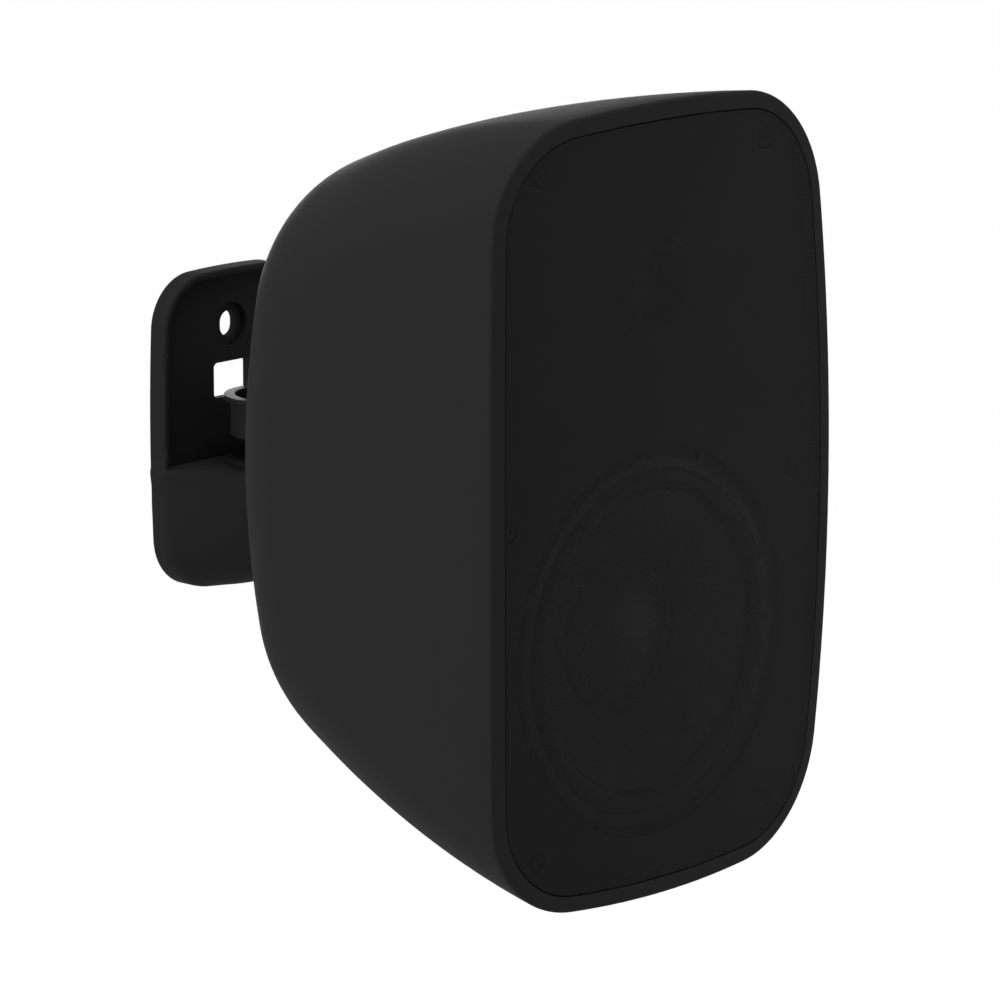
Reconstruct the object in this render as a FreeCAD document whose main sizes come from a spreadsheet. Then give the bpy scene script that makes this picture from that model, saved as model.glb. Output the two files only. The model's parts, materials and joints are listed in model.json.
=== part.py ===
"""Two-way loudspeaker on a pan-and-tilt wall bracket.

The origin lies on the wall, level with the middle of the cabinet. X points right as seen from the room,
Y points into the wall and Z points up, so the front faces -Y. Depths are measured backwards from the foremost
point of the domed front, and lengths are in millimetres.
"""
import FreeCAD
import Part
import Sketcher

import math
import os
import types

from FreeCAD import Placement, Rotation, Vector

DIMENSIONS = {
    # Cabinet, overall, and its distance from the wall
    "cabinet_width": 201.8,
    "cabinet_height": 321.0,
    "cabinet_depth": 193.0,
    "wall_gap": 63.7,
    "wall_thickness": 3.6,
    # Cabinet, front dome and edge
    "rim_depth": 8.5,
    "rim_width": 7.0,
    "side_drop": 7.0,
    "end_drop": 7.0,
    "rim_edge_radius": 1.6,
    # Cabinet, radii of its outline: sides as shares of height times slimness, ends as shares of width,
    # corners as shares of width over the root of slimness
    "side_share_front": 3.3759,
    "end_share_front": 3.415,
    "corner_share_front": 0.30622,
    "side_share_back": 0.29484,
    "end_share_back": 0.374,
    "corner_share_back": 0.35188,
    # Cabinet, how much of its half width or half height each wall loses towards the back
    "side_taper": 0.1009,
    "side_sweep": 0.2009,
    "top_taper": 0.0955,
    "top_sweep": 0.2464,
    "bottom_taper": 0.1826,
    "bottom_sweep": 0.1914,
    "back_round_share": 0.2103,
    "section_share": 0.0723,
    # Front: grille, baffle and the ledge that carries them
    "grille_sheet": 1.0,
    "grille_seam": 0.5,
    "baffle_face": 13.5,
    "baffle_thickness": 9.0,
    "baffle_clearance": 0.3,
    "gasket_thickness": 1.5,
    "gasket_width": 5.0,
    "ledge_width": 6.0,
    "ledge_thickness": 6.0,
    "boss_radius": 5.5,
    "boss_length": 14.0,
    "upper_screw_from_side": 34.4,
    "upper_screw_from_top": 23.5,
    "middle_screw_from_side": 17.3,
    "lower_screw_from_side": 33.4,
    "lower_screw_from_foot": 25.1,
    "baffle_screw_radius": 2.0,
    "baffle_screw_length": 20.0,
    "baffle_head_radius": 4.0,
    "baffle_head_height": 3.0,
    "baffle_counterbore": 4.8,
    "thread_clearance": 0.05,
    "hole_clearance": 0.25,
    # Woofer
    "woofer_from_foot": 102.4,
    "woofer_flange_radius": 79.0,
    "woofer_flange_face": 15.5,
    "woofer_flange_thickness": 2.5,
    "woofer_gasket_thickness": 1.0,
    "woofer_rebate_clearance": 0.5,
    "woofer_cutout_radius": 70.5,
    "basket_throat_radius": 66.0,
    "basket_wall": 2.0,
    "spider_shelf_radius": 51.0,
    "spider_shelf_depth": 48.5,
    "spider_shelf_width": 6.0,
    "spider_sheet": 0.8,
    "spider_roll_outer": 44.5,
    "spider_roll_inner": 23.5,
    "spider_roll_radius": 3.4,
    "basket_base_depth": 64.5,
    "basket_base_hole": 22.0,
    "basket_window_width": 44.0,
    "basket_window_start": 24.0,
    "basket_window_end": 44.0,
    "surround_land_radius": 74.4,
    "surround_roll_outer": 70.0,
    "surround_roll_inner": 61.0,
    "surround_sheet": 0.6,
    "surround_roll_radius": 4.9,
    "cone_radius": 59.7,
    "cone_edge_depth": 17.0,
    "cone_neck_depth": 40.4,
    "cone_sheet": 1.0,
    "bond_gap": 0.1,
    "cap_radius": 31.6,
    "cap_edge_depth": 33.0,
    "cap_rise": 9.5,
    "cap_sheet": 0.7,
    "former_radius": 19.15,
    "former_sheet": 0.4,
    "former_front": 40.4,
    "former_back": 73.5,
    "winding_thickness": 0.85,
    "winding_length": 12.0,
    "coil_gap": 0.6,
    "top_plate_radius": 45.0,
    "top_plate_thickness": 6.0,
    "magnet_radius": 44.0,
    "magnet_hole": 27.0,
    "magnet_thickness": 16.0,
    "yoke_plate_thickness": 6.0,
    "pole_vent_radius": 6.0,
    "woofer_screw_circle": 76.8,
    "woofer_screw_radius": 1.6,
    "woofer_screw_length": 13.0,
    "woofer_head_radius": 2.0,
    "woofer_head_height": 1.4,
    # Tweeter
    "tweeter_from_top": 74.3,
    "tweeter_mouth_radius": 16.4,
    "tweeter_mouth_depth": 9.6,
    "tweeter_throat_radius": 15.4,
    "tweeter_collar_wall": 2.4,
    "tweeter_collar_spread": 3.0,
    "tweeter_plate_radius": 38.0,
    "tweeter_plate_thickness": 4.0,
    "tweeter_rebate_depth": 1.2,
    "tweeter_land_radius": 15.2,
    "tweeter_dome_radius": 12.7,
    "tweeter_dome_rise": 5.5,
    "tweeter_membrane": 0.5,
    "tweeter_coil_length": 5.3,
    "tweeter_coil_gap": 0.6,
    "tweeter_magnet_radius": 29.0,
    "tweeter_magnet_hole": 16.0,
    "tweeter_magnet_thickness": 10.0,
    "tweeter_yoke_thickness": 4.0,
    "tweeter_screw_circle": 33.6,
    "tweeter_screw_length": 9.0,
    # Cup bonded into the cabinet's back
    "pocket_half_width": 31.0,
    "pocket_top": 62.0,
    "pocket_bottom": -24.0,
    "pocket_depth": 43.0,
    "pocket_corner": 6.0,
    # Electrics
    "standoff_length": 14.0,
    "standoff_radius": 3.5,
    "standoff_x": 24.0,
    "standoff_z": 37.0,
    "board_width": 56.0,
    "board_height": 84.0,
    "board_thickness": 1.6,
    "board_z": 19.0,
    "board_screw_radius": 1.5,
    "board_screw_length": 9.0,
    "board_head_radius": 2.8,
    "board_head_height": 1.8,
    "large_coil_radius": 13.0,
    "large_coil_length": 15.0,
    "small_coil_radius": 9.5,
    "small_coil_length": 11.0,
    "coil_core_radius": 4.5,
    "coil_row_z": 41.0,
    "large_coil_x": -10.5,
    "small_coil_x": 15.0,
    "capacitor_radius": 6.5,
    "capacitor_length": 30.0,
    "capacitor_pitch": 16.0,
    "capacitor_row_z": 16.0,
    "resistor_length": 28.0,
    "resistor_side": 9.0,
    "resistor_z": -15.0,
    "terminal_z": 46.0,
    "terminal_plate_width": 46.0,
    "terminal_plate_height": 24.0,
    "terminal_plate_thickness": 2.5,
    "terminal_block_width": 24.0,
    "terminal_block_height": 14.0,
    "terminal_block_front": 8.0,
    "terminal_block_back": 11.0,
    "terminal_screw_x": 18.5,
    "pole_x": 6.0,
    "pole_well_radius": 2.9,
    "pole_well_depth": 3.0,
    "wire_entry_width": 5.0,
    "wire_entry_depth": 4.0,
    "wire_entry_height": 7.0,
    "wire_entry_inset": 1.5,
    # Tilt hinge
    "tilt_inset": 10.3,
    "tilt_z": 5.6,
    "barrel_radius": 8.6,
    "barrel_width": 28.0,
    "barrel_side_gap": 0.3,
    "running_clearance": 0.06,
    "clevis_ear": 5.0,
    "clevis_ear_radius": 9.5,
    "clevis_base_thickness": 4.0,
    "clevis_base_width": 58.0,
    "clevis_base_height": 44.0,
    "clevis_screw_x": 24.6,
    "clevis_screw_z": 15.0,
    "clevis_screw_radius": 2.5,
    "clevis_screw_length": 14.0,
    "clevis_head_radius": 3.6,
    "clevis_head_height": 3.0,
    "clevis_boss_radius": 5.0,
    "clevis_boss_length": 9.0,
    "tilt_bolt_radius": 3.0,
    "tilt_head_radius": 5.0,
    "tilt_head_height": 4.0,
    "tilt_washer_radius": 6.0,
    "tilt_washer_thickness": 1.0,
    "tilt_nut_radius": 5.6,
    "tilt_nut_height": 4.5,
    "tilt_bolt_tail": 0.8,
    # Swivel drum on its vertical bolt
    "pan_reach": 31.0,
    "drum_radius": 18.6,
    "drum_lip": 2.8,
    "drum_lip_height": 2.2,
    "drum_bore_radius": 16.4,
    "drum_bottom": -3.0,
    "drum_top": 14.2,
    "drum_web": 5.0,
    "bushing_radius": 12.5,
    "disc_radius": 20.5,
    "disc_thickness": 3.0,
    "pivot_bolt_radius": 4.0,
    "pivot_head_radius": 6.5,
    "pivot_head_height": 7.5,
    "pivot_washer_radius": 11.0,
    "pivot_washer_thickness": 1.6,
    "pivot_nut_radius": 7.4,
    "pivot_nut_height": 6.5,
    "pivot_bolt_tail": 2.0,
    # Wall plate
    "plate_half_width": 42.5,
    "plate_top": 65.0,
    "plate_bottom": -69.0,
    "plate_corner": 23.0,
    "plate_side_radius": 900.0,
    "plate_end_radius": 420.0,
    "plate_rim": 9.0,
    "plate_floor": 5.4,
    "plate_rim_wall": 2.6,
    "plate_edge_radius": 1.4,
    "plate_back_relief": 1.8,
    "plate_rib": 1.8,
    "plate_rib_x": 24.0,
    "shelf_z": -15.5,
    "shelf_thickness": 5.0,
    "nose_radius": 25.5,
    "nose_foot_reach": 12.5,
    "nose_fullness": 1.7,
    "nose_edge_least": 4.0,
    "nose_edge_most": 16.0,
    "nose_wall": 3.4,
    "nose_rib_x": 18.0,
    "nose_rib_back": 12.0,
    "slot_z": 40.3,
    "slot_width": 9.2,
    "slot_length": 11.0,
    "slot_seat_width": 18.0,
    "slot_seat_length": 18.8,
    "slot_seat_depth": 2.0,
    "well_z": -52.0,
    "well_radius": 6.6,
    "well_wall": 2.0,
    "cable_hole_width": 20.6,
    "cable_hole_height": 15.0,
    "cable_hole_z": 17.2,
    "cable_hole_corner": 2.0,
}


class Size:
    """A length that keeps its number together with the sheet expression that it comes from."""

    def __init__(self, number, text):
        self.number = number
        self.text = text

    def __add__(self, other):
        other = sized(other)
        return Size(self.number + other.number, f"({self.text} + {other.text})")

    def __sub__(self, other):
        other = sized(other)
        return Size(self.number - other.number, f"({self.text} - {other.text})")

    def __rsub__(self, other):
        return sized(other) - self

    def __mul__(self, factor):
        factor = sized(factor)
        return Size(self.number * factor.number, f"({self.text} * {factor.text})")

    def __truediv__(self, divisor):
        divisor = sized(divisor)
        return Size(self.number / divisor.number, f"({self.text} / {divisor.text})")

    def __neg__(self):
        return Size(-self.number, f"(0 - {self.text})")

    __radd__ = __add__
    __rmul__ = __mul__


def sized(value):
    """A plain number as a size of its own."""
    return value if isinstance(value, Size) else Size(float(value), f"({float(value)})")


doc = FreeCAD.newDocument("wall_speaker")
sheet = doc.addObject("Spreadsheet::Sheet", "Sizes")
for row, (alias, number) in enumerate(DIMENSIONS.items(), start=1):
    sheet.set(f"A{row}", str(number))
    sheet.setAlias(f"A{row}", alias)
doc.recompute()
dim = types.SimpleNamespace(**{alias: Size(sheet.get(alias), f"Sizes.{alias}") for alias in DIMENSIONS})

# Places that follow from other sizes.
face_reach = dim.cabinet_depth + dim.wall_gap
back_round = dim.cabinet_width * dim.back_round_share
tilt_reach = dim.wall_gap + dim.tilt_inset
woofer_z = dim.woofer_from_foot - dim.cabinet_height / 2
tweeter_z = dim.cabinet_height / 2 - dim.tweeter_from_top

# The sub-parts that are written out, by the name of their node.
nodes = {}

ALONG = {
    "x": Rotation(Vector(0, 1, 0), 90),
    "y": Rotation(Vector(1, 0, 0), -90),
    "z": Rotation(),
}


def place(item, x, y, z, turn=None):
    """Puts an object at a point that follows the sheet."""
    item.Placement = Placement(Vector(), turn or Rotation())
    for axis, size in zip("xyz", (x, y, z)):
        item.setExpression(f"Placement.Base.{axis}", sized(size).text)
    return item


def node(name, item):
    """Keeps an object as a finished sub-part under its own name."""
    item.Label = name
    nodes[name] = item
    return item


def rod(name, radius, length, axis, x, y, z):
    """A round bar that starts at a point and runs along one axis."""
    item = doc.addObject("Part::Cylinder", name)
    item.setExpression("Radius", sized(radius).text)
    item.setExpression("Height", sized(length).text)
    return place(item, x, y, z, ALONG[axis])


def taper(name, first_radius, last_radius, length, x, y, z):
    """A cone frustum that starts at a point and runs backwards."""
    item = doc.addObject("Part::Cone", name)
    item.setExpression("Radius1", sized(first_radius).text)
    item.setExpression("Radius2", sized(last_radius).text)
    item.setExpression("Height", sized(length).text)
    return place(item, x, y, z, ALONG["y"])


def block(name, width, depth, height, x, y, z):
    """A box centred on x and z that starts at y and runs backwards."""
    item = doc.addObject("Part::Box", name)
    item.setExpression("Length", sized(width).text)
    item.setExpression("Width", sized(depth).text)
    item.setExpression("Height", sized(height).text)
    return place(item, x - width / 2, y, z - height / 2)


def hex_bar(name, radius, length, axis, x, y, z):
    """A hexagonal bar, measured to its corners."""
    item = doc.addObject("Part::Prism", name)
    item.Polygon = 6
    item.setExpression("Circumradius", sized(radius).text)
    item.setExpression("Height", sized(length).text)
    return place(item, x, y, z, ALONG[axis])


def fuse(name, *items):
    item = doc.addObject("Part::MultiFuse", name)
    item.Shapes = list(items)
    item.Refine = True
    return item


def cut(name, base, *tools):
    item = doc.addObject("Part::Cut", name)
    item.Base = base
    item.Tool = tools[0] if len(tools) == 1 else fuse(name + "_tools", *tools)
    item.Refine = True
    return item


def round_block(name, width, depth, height, corner, x, y, z):
    """A box with round corners, centred on x and z, that starts at y and runs backwards."""
    pieces = [
        block(name + "_wide", width, depth, height - 2 * corner, x, y, z),
        block(name + "_tall", width - 2 * corner, depth, height, x, y, z),
    ]
    for x_sign in (-1, 1):
        for z_sign in (-1, 1):
            pieces.append(rod(f"{name}_corner_{len(pieces)}", corner, depth, "y",
                              x + (width / 2 - corner) * x_sign, y, z + (height / 2 - corner) * z_sign))
    return fuse(name, *pieces)


def group(name, items):
    """Identical pieces that share one node, each a solid of its own."""
    item = doc.addObject("Part::Compound", name)
    item.Links = items
    return node(name, item)


def shaped(name, shape):
    """A freeform solid, worked out from the sheet's numbers."""
    item = doc.addObject("Part::Feature", name)
    item.Shape = shape
    return item


def add_arc(sketch, start, end, radius):
    """Adds the short arc from start to end; it bulges left of that way, or right for a negative radius.

    Returns the places of its start and end in the sketch.
    """
    chord = end - start
    left = Vector(-chord.y, chord.x, 0).normalize()
    bulge = left if radius.number > 0 else -left
    size = radius if radius.number > 0 else -radius
    centre = (start + end) / 2 - bulge * math.sqrt(size.number ** 2 - (chord.Length / 2) ** 2)
    first, last = (end, start) if radius.number > 0 else (start, end)
    first_angle = math.atan2(first.y - centre.y, first.x - centre.x)
    last_angle = math.atan2(last.y - centre.y, last.x - centre.x)
    circle = Part.Circle(centre, Vector(0, 0, 1), size.number)
    edge = sketch.addGeometry(Part.ArcOfCircle(circle, first_angle, last_angle), False)
    fixed = sketch.addConstraint(Sketcher.Constraint("Radius", edge, size.number))
    sketch.setExpression(f"Constraints[{fixed}]", size.text)
    return ((edge, 2), (edge, 1)) if radius.number > 0 else ((edge, 1), (edge, 2))


def draw(sketch, outline):
    """Draws a closed outline of lines and arcs, with every corner and radius tied to the sheet.

    Each entry is (x, y) for a line to the next corner, or (x, y, radius) for an arc to it.
    """
    corners = [Vector(sized(entry[0]).number, sized(entry[1]).number, 0) for entry in outline]
    starts = []
    ends = []
    for index, entry in enumerate(outline):
        here = corners[index]
        there = corners[(index + 1) % len(corners)]
        if len(entry) == 2:
            edge = sketch.addGeometry(Part.LineSegment(here, there), False)
            start, end = (edge, 1), (edge, 2)
        else:
            start, end = add_arc(sketch, here, there, entry[2])
        starts.append(start)
        ends.append(end)
    for index, entry in enumerate(outline):
        sketch.addConstraint(Sketcher.Constraint("Coincident", *ends[index - 1], *starts[index]))
        for kind, axis_line, size in (("DistanceX", -2, entry[0]), ("DistanceY", -1, entry[1])):
            size = sized(size)
            if size.number == 0:
                sketch.addConstraint(Sketcher.Constraint("PointOnObject", *starts[index], axis_line))
                continue
            spot = sketch.addConstraint(Sketcher.Constraint(kind, -1, 1, *starts[index], size.number))
            sketch.setExpression(f"Constraints[{spot}]", size.text)


def turned(name, outline, x, y, z):
    """A turned piece whose axis runs backwards from a point; its outline is (radius, distance behind y)."""
    body = doc.addObject("PartDesign::Body", name)
    sketch = body.newObject("Sketcher::SketchObject", name + "_profile")
    plane = next(item for item in body.Origin.OriginFeatures if item.Role == "XZ_Plane")
    sketch.AttachmentSupport = [(plane, "")]
    sketch.MapMode = "FlatFace"
    draw(sketch, outline)
    turn = body.newObject("PartDesign::Revolution", name + "_turn")
    turn.Profile = sketch
    turn.ReferenceAxis = (sketch, ["V_Axis"])
    turn.Angle = 360.0
    return place(body, x, y, z, ALONG["y"])


def at_depth(depth):
    """The Y of a depth behind the foremost point of the front."""
    return depth - face_reach


def ring(outer, inner, front, back):
    """Outline of a plain ring between two depths, measured from its front."""
    length = back - front
    return [(outer, 0), (outer, length), (inner, length), (inner, 0)]


def soft_outline(half_width, top, bottom, side_radius, end_radius, corner, inset, y):
    """A closed outline of eight tangent arcs in the plane at y: bowed sides, bowed ends and round corners."""
    middle = (top + bottom) / 2
    width = half_width - inset
    height = (top - bottom) / 2 - inset
    side, end, corner = side_radius - inset, end_radius - inset, corner - inset
    side_centre = Vector(width - side, 0, 0)
    end_centre = Vector(0, 0, height - end)
    # The corner's centre is where it touches both bowed arcs from inside.
    to_side, to_end = side - corner, end - corner
    line = end_centre - side_centre
    along = (to_side ** 2 - to_end ** 2 + line.Length ** 2) / (2 * line.Length)
    across = math.sqrt(to_side ** 2 - along ** 2)
    unit = Vector(line).normalize()
    corner_centre = side_centre + unit * along + Vector(-unit.z, 0, unit.x) * across
    from_side = (corner_centre - side_centre).normalize()
    from_end = (corner_centre - end_centre).normalize()
    low = side_centre + from_side * side
    mid = corner_centre + (from_side + from_end).normalize() * corner
    high = end_centre + from_end * end

    def spot(point, x_sign, z_sign):
        return Vector(point.x * x_sign, y, middle + point.z * z_sign)

    def arc(*points):
        return Part.Arc(*points).toShape()

    edges = [arc(spot(low, 1, -1), Vector(width, y, middle), spot(low, 1, 1))]
    edges.append(arc(spot(low, 1, 1), spot(mid, 1, 1), spot(high, 1, 1)))
    edges.append(arc(spot(high, 1, 1), Vector(0, y, middle + height), spot(high, -1, 1)))
    edges.append(arc(spot(high, -1, 1), spot(mid, -1, 1), spot(low, -1, 1)))
    edges.append(arc(spot(low, -1, 1), Vector(-width, y, middle), spot(low, -1, -1)))
    edges.append(arc(spot(low, -1, -1), spot(mid, -1, -1), spot(high, -1, -1)))
    edges.append(arc(spot(high, -1, -1), Vector(0, y, middle - height), spot(high, 1, -1)))
    edges.append(arc(spot(high, 1, -1), spot(mid, 1, -1), spot(low, 1, -1)))
    return Part.Wire(edges)


def cabinet_section(depth, inset, y=None):
    """The cabinet's outline at a depth behind the front, drawn in by an inset."""
    full = dim.cabinet_depth.number
    width = dim.cabinet_width.number
    height = dim.cabinet_height.number
    slimness = height / width
    rim = dim.rim_depth.number
    share = (depth - rim) / (full - rim)
    rounding = back_round.number - inset
    rise = max(0.0, depth - full + back_round.number) / rounding
    drawn_in = rounding * (1 - math.sqrt(max(0.0, 1 - rise ** 2)))

    def blend(front, back):
        return front.number + (back.number - front.number) * share

    def kept(taper_share, sweep_share):
        return 1 - taper_share.number * share - sweep_share.number * share * abs(share)

    return soft_outline(
        width / 2 * kept(dim.side_taper, dim.side_sweep),
        height / 2 * kept(dim.top_taper, dim.top_sweep),
        -height / 2 * kept(dim.bottom_taper, dim.bottom_sweep),
        height * slimness * blend(dim.side_share_front, dim.side_share_back),
        width * blend(dim.end_share_front, dim.end_share_back),
        width / math.sqrt(slimness) * blend(dim.corner_share_front, dim.corner_share_back),
        inset + drawn_in,
        depth - face_reach.number if y is None else y,
    )


def cabinet_loft(first_depth, inset):
    """The cabinet's form from a depth to its rounded back, drawn in by an inset."""
    full = dim.cabinet_depth.number
    start = full - back_round.number
    rounding = back_round.number - inset
    # Sections lie evenly along the skin, so that the loft stays smooth from the walls into the rounding.
    step_length = dim.cabinet_width.number * dim.section_share.number
    straight_spans = round((start - first_depth) / step_length)
    round_spans = round(math.pi / 2 * rounding / step_length)
    depths = [first_depth + (start - first_depth) * step / straight_spans for step in range(straight_spans)]
    depths += [start + rounding * math.sin(math.pi / 2 * step / round_spans) for step in range(round_spans + 1)]
    return Part.makeLoft([cabinet_section(depth, inset) for depth in depths], True, False)


def front_slab(inset, first_depth, last_depth):
    """A straight slab with the front's outline, drawn in by an inset, between two depths."""
    outline = cabinet_section(dim.rim_depth.number, inset, first_depth - face_reach.number)
    return Part.Face(outline).extrude(Vector(0, last_depth - first_depth, 0))


def dome_radius(half_span, drop):
    return (half_span ** 2 + drop ** 2) / (2 * drop)


def front_dome_cutter(depth):
    """The space in front of the domed front surface, set back by a depth."""
    half_width = dim.cabinet_width.number / 2
    half_height = dim.cabinet_height.number / 2
    across = dome_radius(half_width, dim.side_drop.number)
    upright = dome_radius(half_height, dim.end_drop.number)
    reach = half_width * 1.3
    sag = across - math.sqrt(across ** 2 - reach ** 2)
    apex = depth - face_reach.number
    front = apex - half_width / 2
    swing = 1.4 * math.degrees(half_height / upright)
    bow = Part.Arc(Vector(-reach, apex + sag, 0), Vector(0, apex, 0), Vector(reach, apex + sag, 0)).toShape()
    sides = Part.makePolygon([
        Vector(reach, apex + sag, 0),
        Vector(reach, front, 0),
        Vector(-reach, front, 0),
        Vector(-reach, apex + sag, 0),
    ])
    face = Part.Face(Part.Wire([bow, *sides.Edges]))
    pivot = Vector(0, apex + upright, 0)
    face.rotate(pivot, Vector(1, 0, 0), -swing)
    return face.revolve(pivot, Vector(1, 0, 0), 2 * swing)


# Depths that several pieces share.
baffle_back = dim.baffle_face + dim.baffle_thickness
ledge_face = baffle_back + dim.gasket_thickness
ledge_back = ledge_face + dim.ledge_thickness
ledge_inset = dim.rim_width + dim.ledge_width
stock_front = -dim.rim_depth
pocket_floor = dim.cabinet_depth - dim.pocket_depth
pocket_inner = pocket_floor - dim.wall_thickness
pocket_middle_z = (dim.pocket_top + dim.pocket_bottom) / 2
pocket_height = dim.pocket_top - dim.pocket_bottom
board_back = pocket_inner - dim.standoff_length
board_front = board_back - dim.board_thickness

half_width = dim.cabinet_width / 2
half_height = dim.cabinet_height / 2
baffle_screw_spots = []
for from_side, z in (
    (dim.upper_screw_from_side, half_height - dim.upper_screw_from_top),
    (dim.middle_screw_from_side, sized(0)),
    (dim.lower_screw_from_side, dim.lower_screw_from_foot - half_height),
):
    baffle_screw_spots += [((half_width - from_side) * sign, z) for sign in (-1, 1)]
clevis_screw_spots = []
standoff_spots = []
for x_sign in (-1, 1):
    for z_sign in (-1, 1):
        clevis_screw_spots.append((dim.clevis_screw_x * x_sign, dim.tilt_z + dim.clevis_screw_z * z_sign))
        standoff_spots.append((dim.standoff_x * x_sign, dim.board_z + dim.standoff_z * z_sign))
terminal_screw_spots = [(dim.terminal_screw_x * sign, dim.terminal_z) for sign in (-1, 1)]


def circle_spots(radius, middle_z, count, first_angle):
    """Evenly spaced places on a circle round a driver's axis."""
    spots = []
    for index in range(count):
        angle = math.radians(first_angle + 360 / count * index)
        spots.append((radius * math.cos(angle), middle_z + radius * math.sin(angle)))
    return spots


woofer_screw_spots = circle_spots(dim.woofer_screw_circle, woofer_z, 8, 22.5)
tweeter_screw_spots = circle_spots(dim.tweeter_screw_circle, tweeter_z, 3, 90)


def holes(name, spots, radius, first_depth, length):
    """Round holes along Y at a list of places."""
    return [rod(f"{name}_{index}", radius, length, "y", x, at_depth(first_depth), z)
            for index, (x, z) in enumerate(spots)]


def screws(name, spots, shank, length, head, head_height, seat):
    """Screws whose heads sit in front of a seat depth and whose shanks run backwards."""
    items = []
    for index, (x, z) in enumerate(spots):
        top = rod(f"{name}_head_{index}", head, head_height, "y", x, at_depth(seat - head_height), z)
        stem = rod(f"{name}_stem_{index}", shank, length + head_height, "y", x, at_depth(seat - head_height), z)
        items.append(fuse(f"{name}_{index}", top, stem))
    return group(name, items)


def back_screws(name, spots, shank, length, head, head_height, seat):
    """Screws whose heads sit behind a seat depth and whose shanks run forwards."""
    items = []
    for index, (x, z) in enumerate(spots):
        top = rod(f"{name}_head_{index}", head, head_height, "y", x, at_depth(seat), z)
        stem = rod(f"{name}_stem_{index}", shank, length + head_height, "y", x, at_depth(seat - length), z)
        items.append(fuse(f"{name}_{index}", top, stem))
    return group(name, items)


def make_cabinet():
    """The moulded shell: one lofted skin with a rim and ledge in front, and the cup bonded into its back."""
    wall = dim.wall_thickness
    blank = cabinet_loft(stock_front.number, 0.0).cut(front_dome_cutter(0.0))
    front_face = min(blank.Faces, key=lambda face: face.CenterOfMass.y)
    outer = blank.makeFillet(dim.rim_edge_radius.number, front_face.OuterWire.Edges)
    cavity = cabinet_loft(ledge_back.number, wall.number)
    mouth = front_slab(dim.rim_width.number, stock_front.number - 1, ledge_face.number)
    ledge_hole = front_slab(ledge_inset.number, stock_front.number, ledge_back.number + 1)
    skin = outer.cut(cavity).cut(mouth).cut(ledge_hole)
    cup_width = 2 * (dim.pocket_half_width + wall)
    cup_height = pocket_height + 2 * wall
    cup_corner = dim.pocket_corner + wall
    back_window = round_block("back_window", cup_width + 2 * dim.bond_gap, dim.cabinet_depth,
                              cup_height + 2 * dim.bond_gap, cup_corner + dim.bond_gap, sized(0),
                              at_depth(pocket_inner - 1), pocket_middle_z)
    baffle_bosses = holes("baffle_boss", baffle_screw_spots, dim.boss_radius, ledge_face, dim.boss_length)
    baffle_pilots = holes("baffle_pilot", baffle_screw_spots, dim.baffle_screw_radius + dim.thread_clearance,
                          ledge_face - 1, dim.boss_length)
    body = fuse("cabinet_body", shaped("cabinet_skin", skin), *baffle_bosses)
    node("cabinet_shell", cut("cabinet_shell", body, back_window, *baffle_pilots))

    cup_block = round_block("cup_block", cup_width, dim.cabinet_depth - pocket_inner, cup_height, cup_corner,
                            sized(0), at_depth(pocket_inner), pocket_middle_z)
    inside = doc.addObject("Part::Common", "cup_inside")
    inside.Base = cup_block
    inside.Tool = shaped("cabinet_outer", outer)
    bosses = holes("clevis_boss", clevis_screw_spots, dim.clevis_boss_radius,
                   pocket_inner - dim.clevis_boss_length, dim.clevis_boss_length + wall)
    bosses += holes("standoff", standoff_spots, dim.standoff_radius, board_back, dim.standoff_length)
    cup_body = fuse("cup_body", inside, *bosses)
    room = round_block("pocket_room", 2 * dim.pocket_half_width, dim.cabinet_depth, pocket_height,
                       dim.pocket_corner, sized(0), at_depth(pocket_floor), pocket_middle_z)
    window = block("terminal_window", dim.terminal_block_width + 2 * dim.hole_clearance, 3 * wall,
                   dim.terminal_block_height + 2 * dim.hole_clearance, sized(0), at_depth(pocket_inner - wall),
                   dim.terminal_z)
    pilots = holes("clevis_pilot", clevis_screw_spots, dim.clevis_screw_radius + dim.thread_clearance,
                   pocket_floor - dim.clevis_screw_length, dim.clevis_screw_length + 1)
    pilots += holes("standoff_pilot", standoff_spots, dim.board_screw_radius + dim.thread_clearance,
                    board_back - 1, dim.board_screw_length + 2)
    pilots += holes("terminal_pilot", terminal_screw_spots, dim.board_screw_radius + dim.thread_clearance,
                    pocket_inner - 1, wall + 2)
    node("rear_cup", cut("rear_cup", cup_body, room, window, *pilots))


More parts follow.
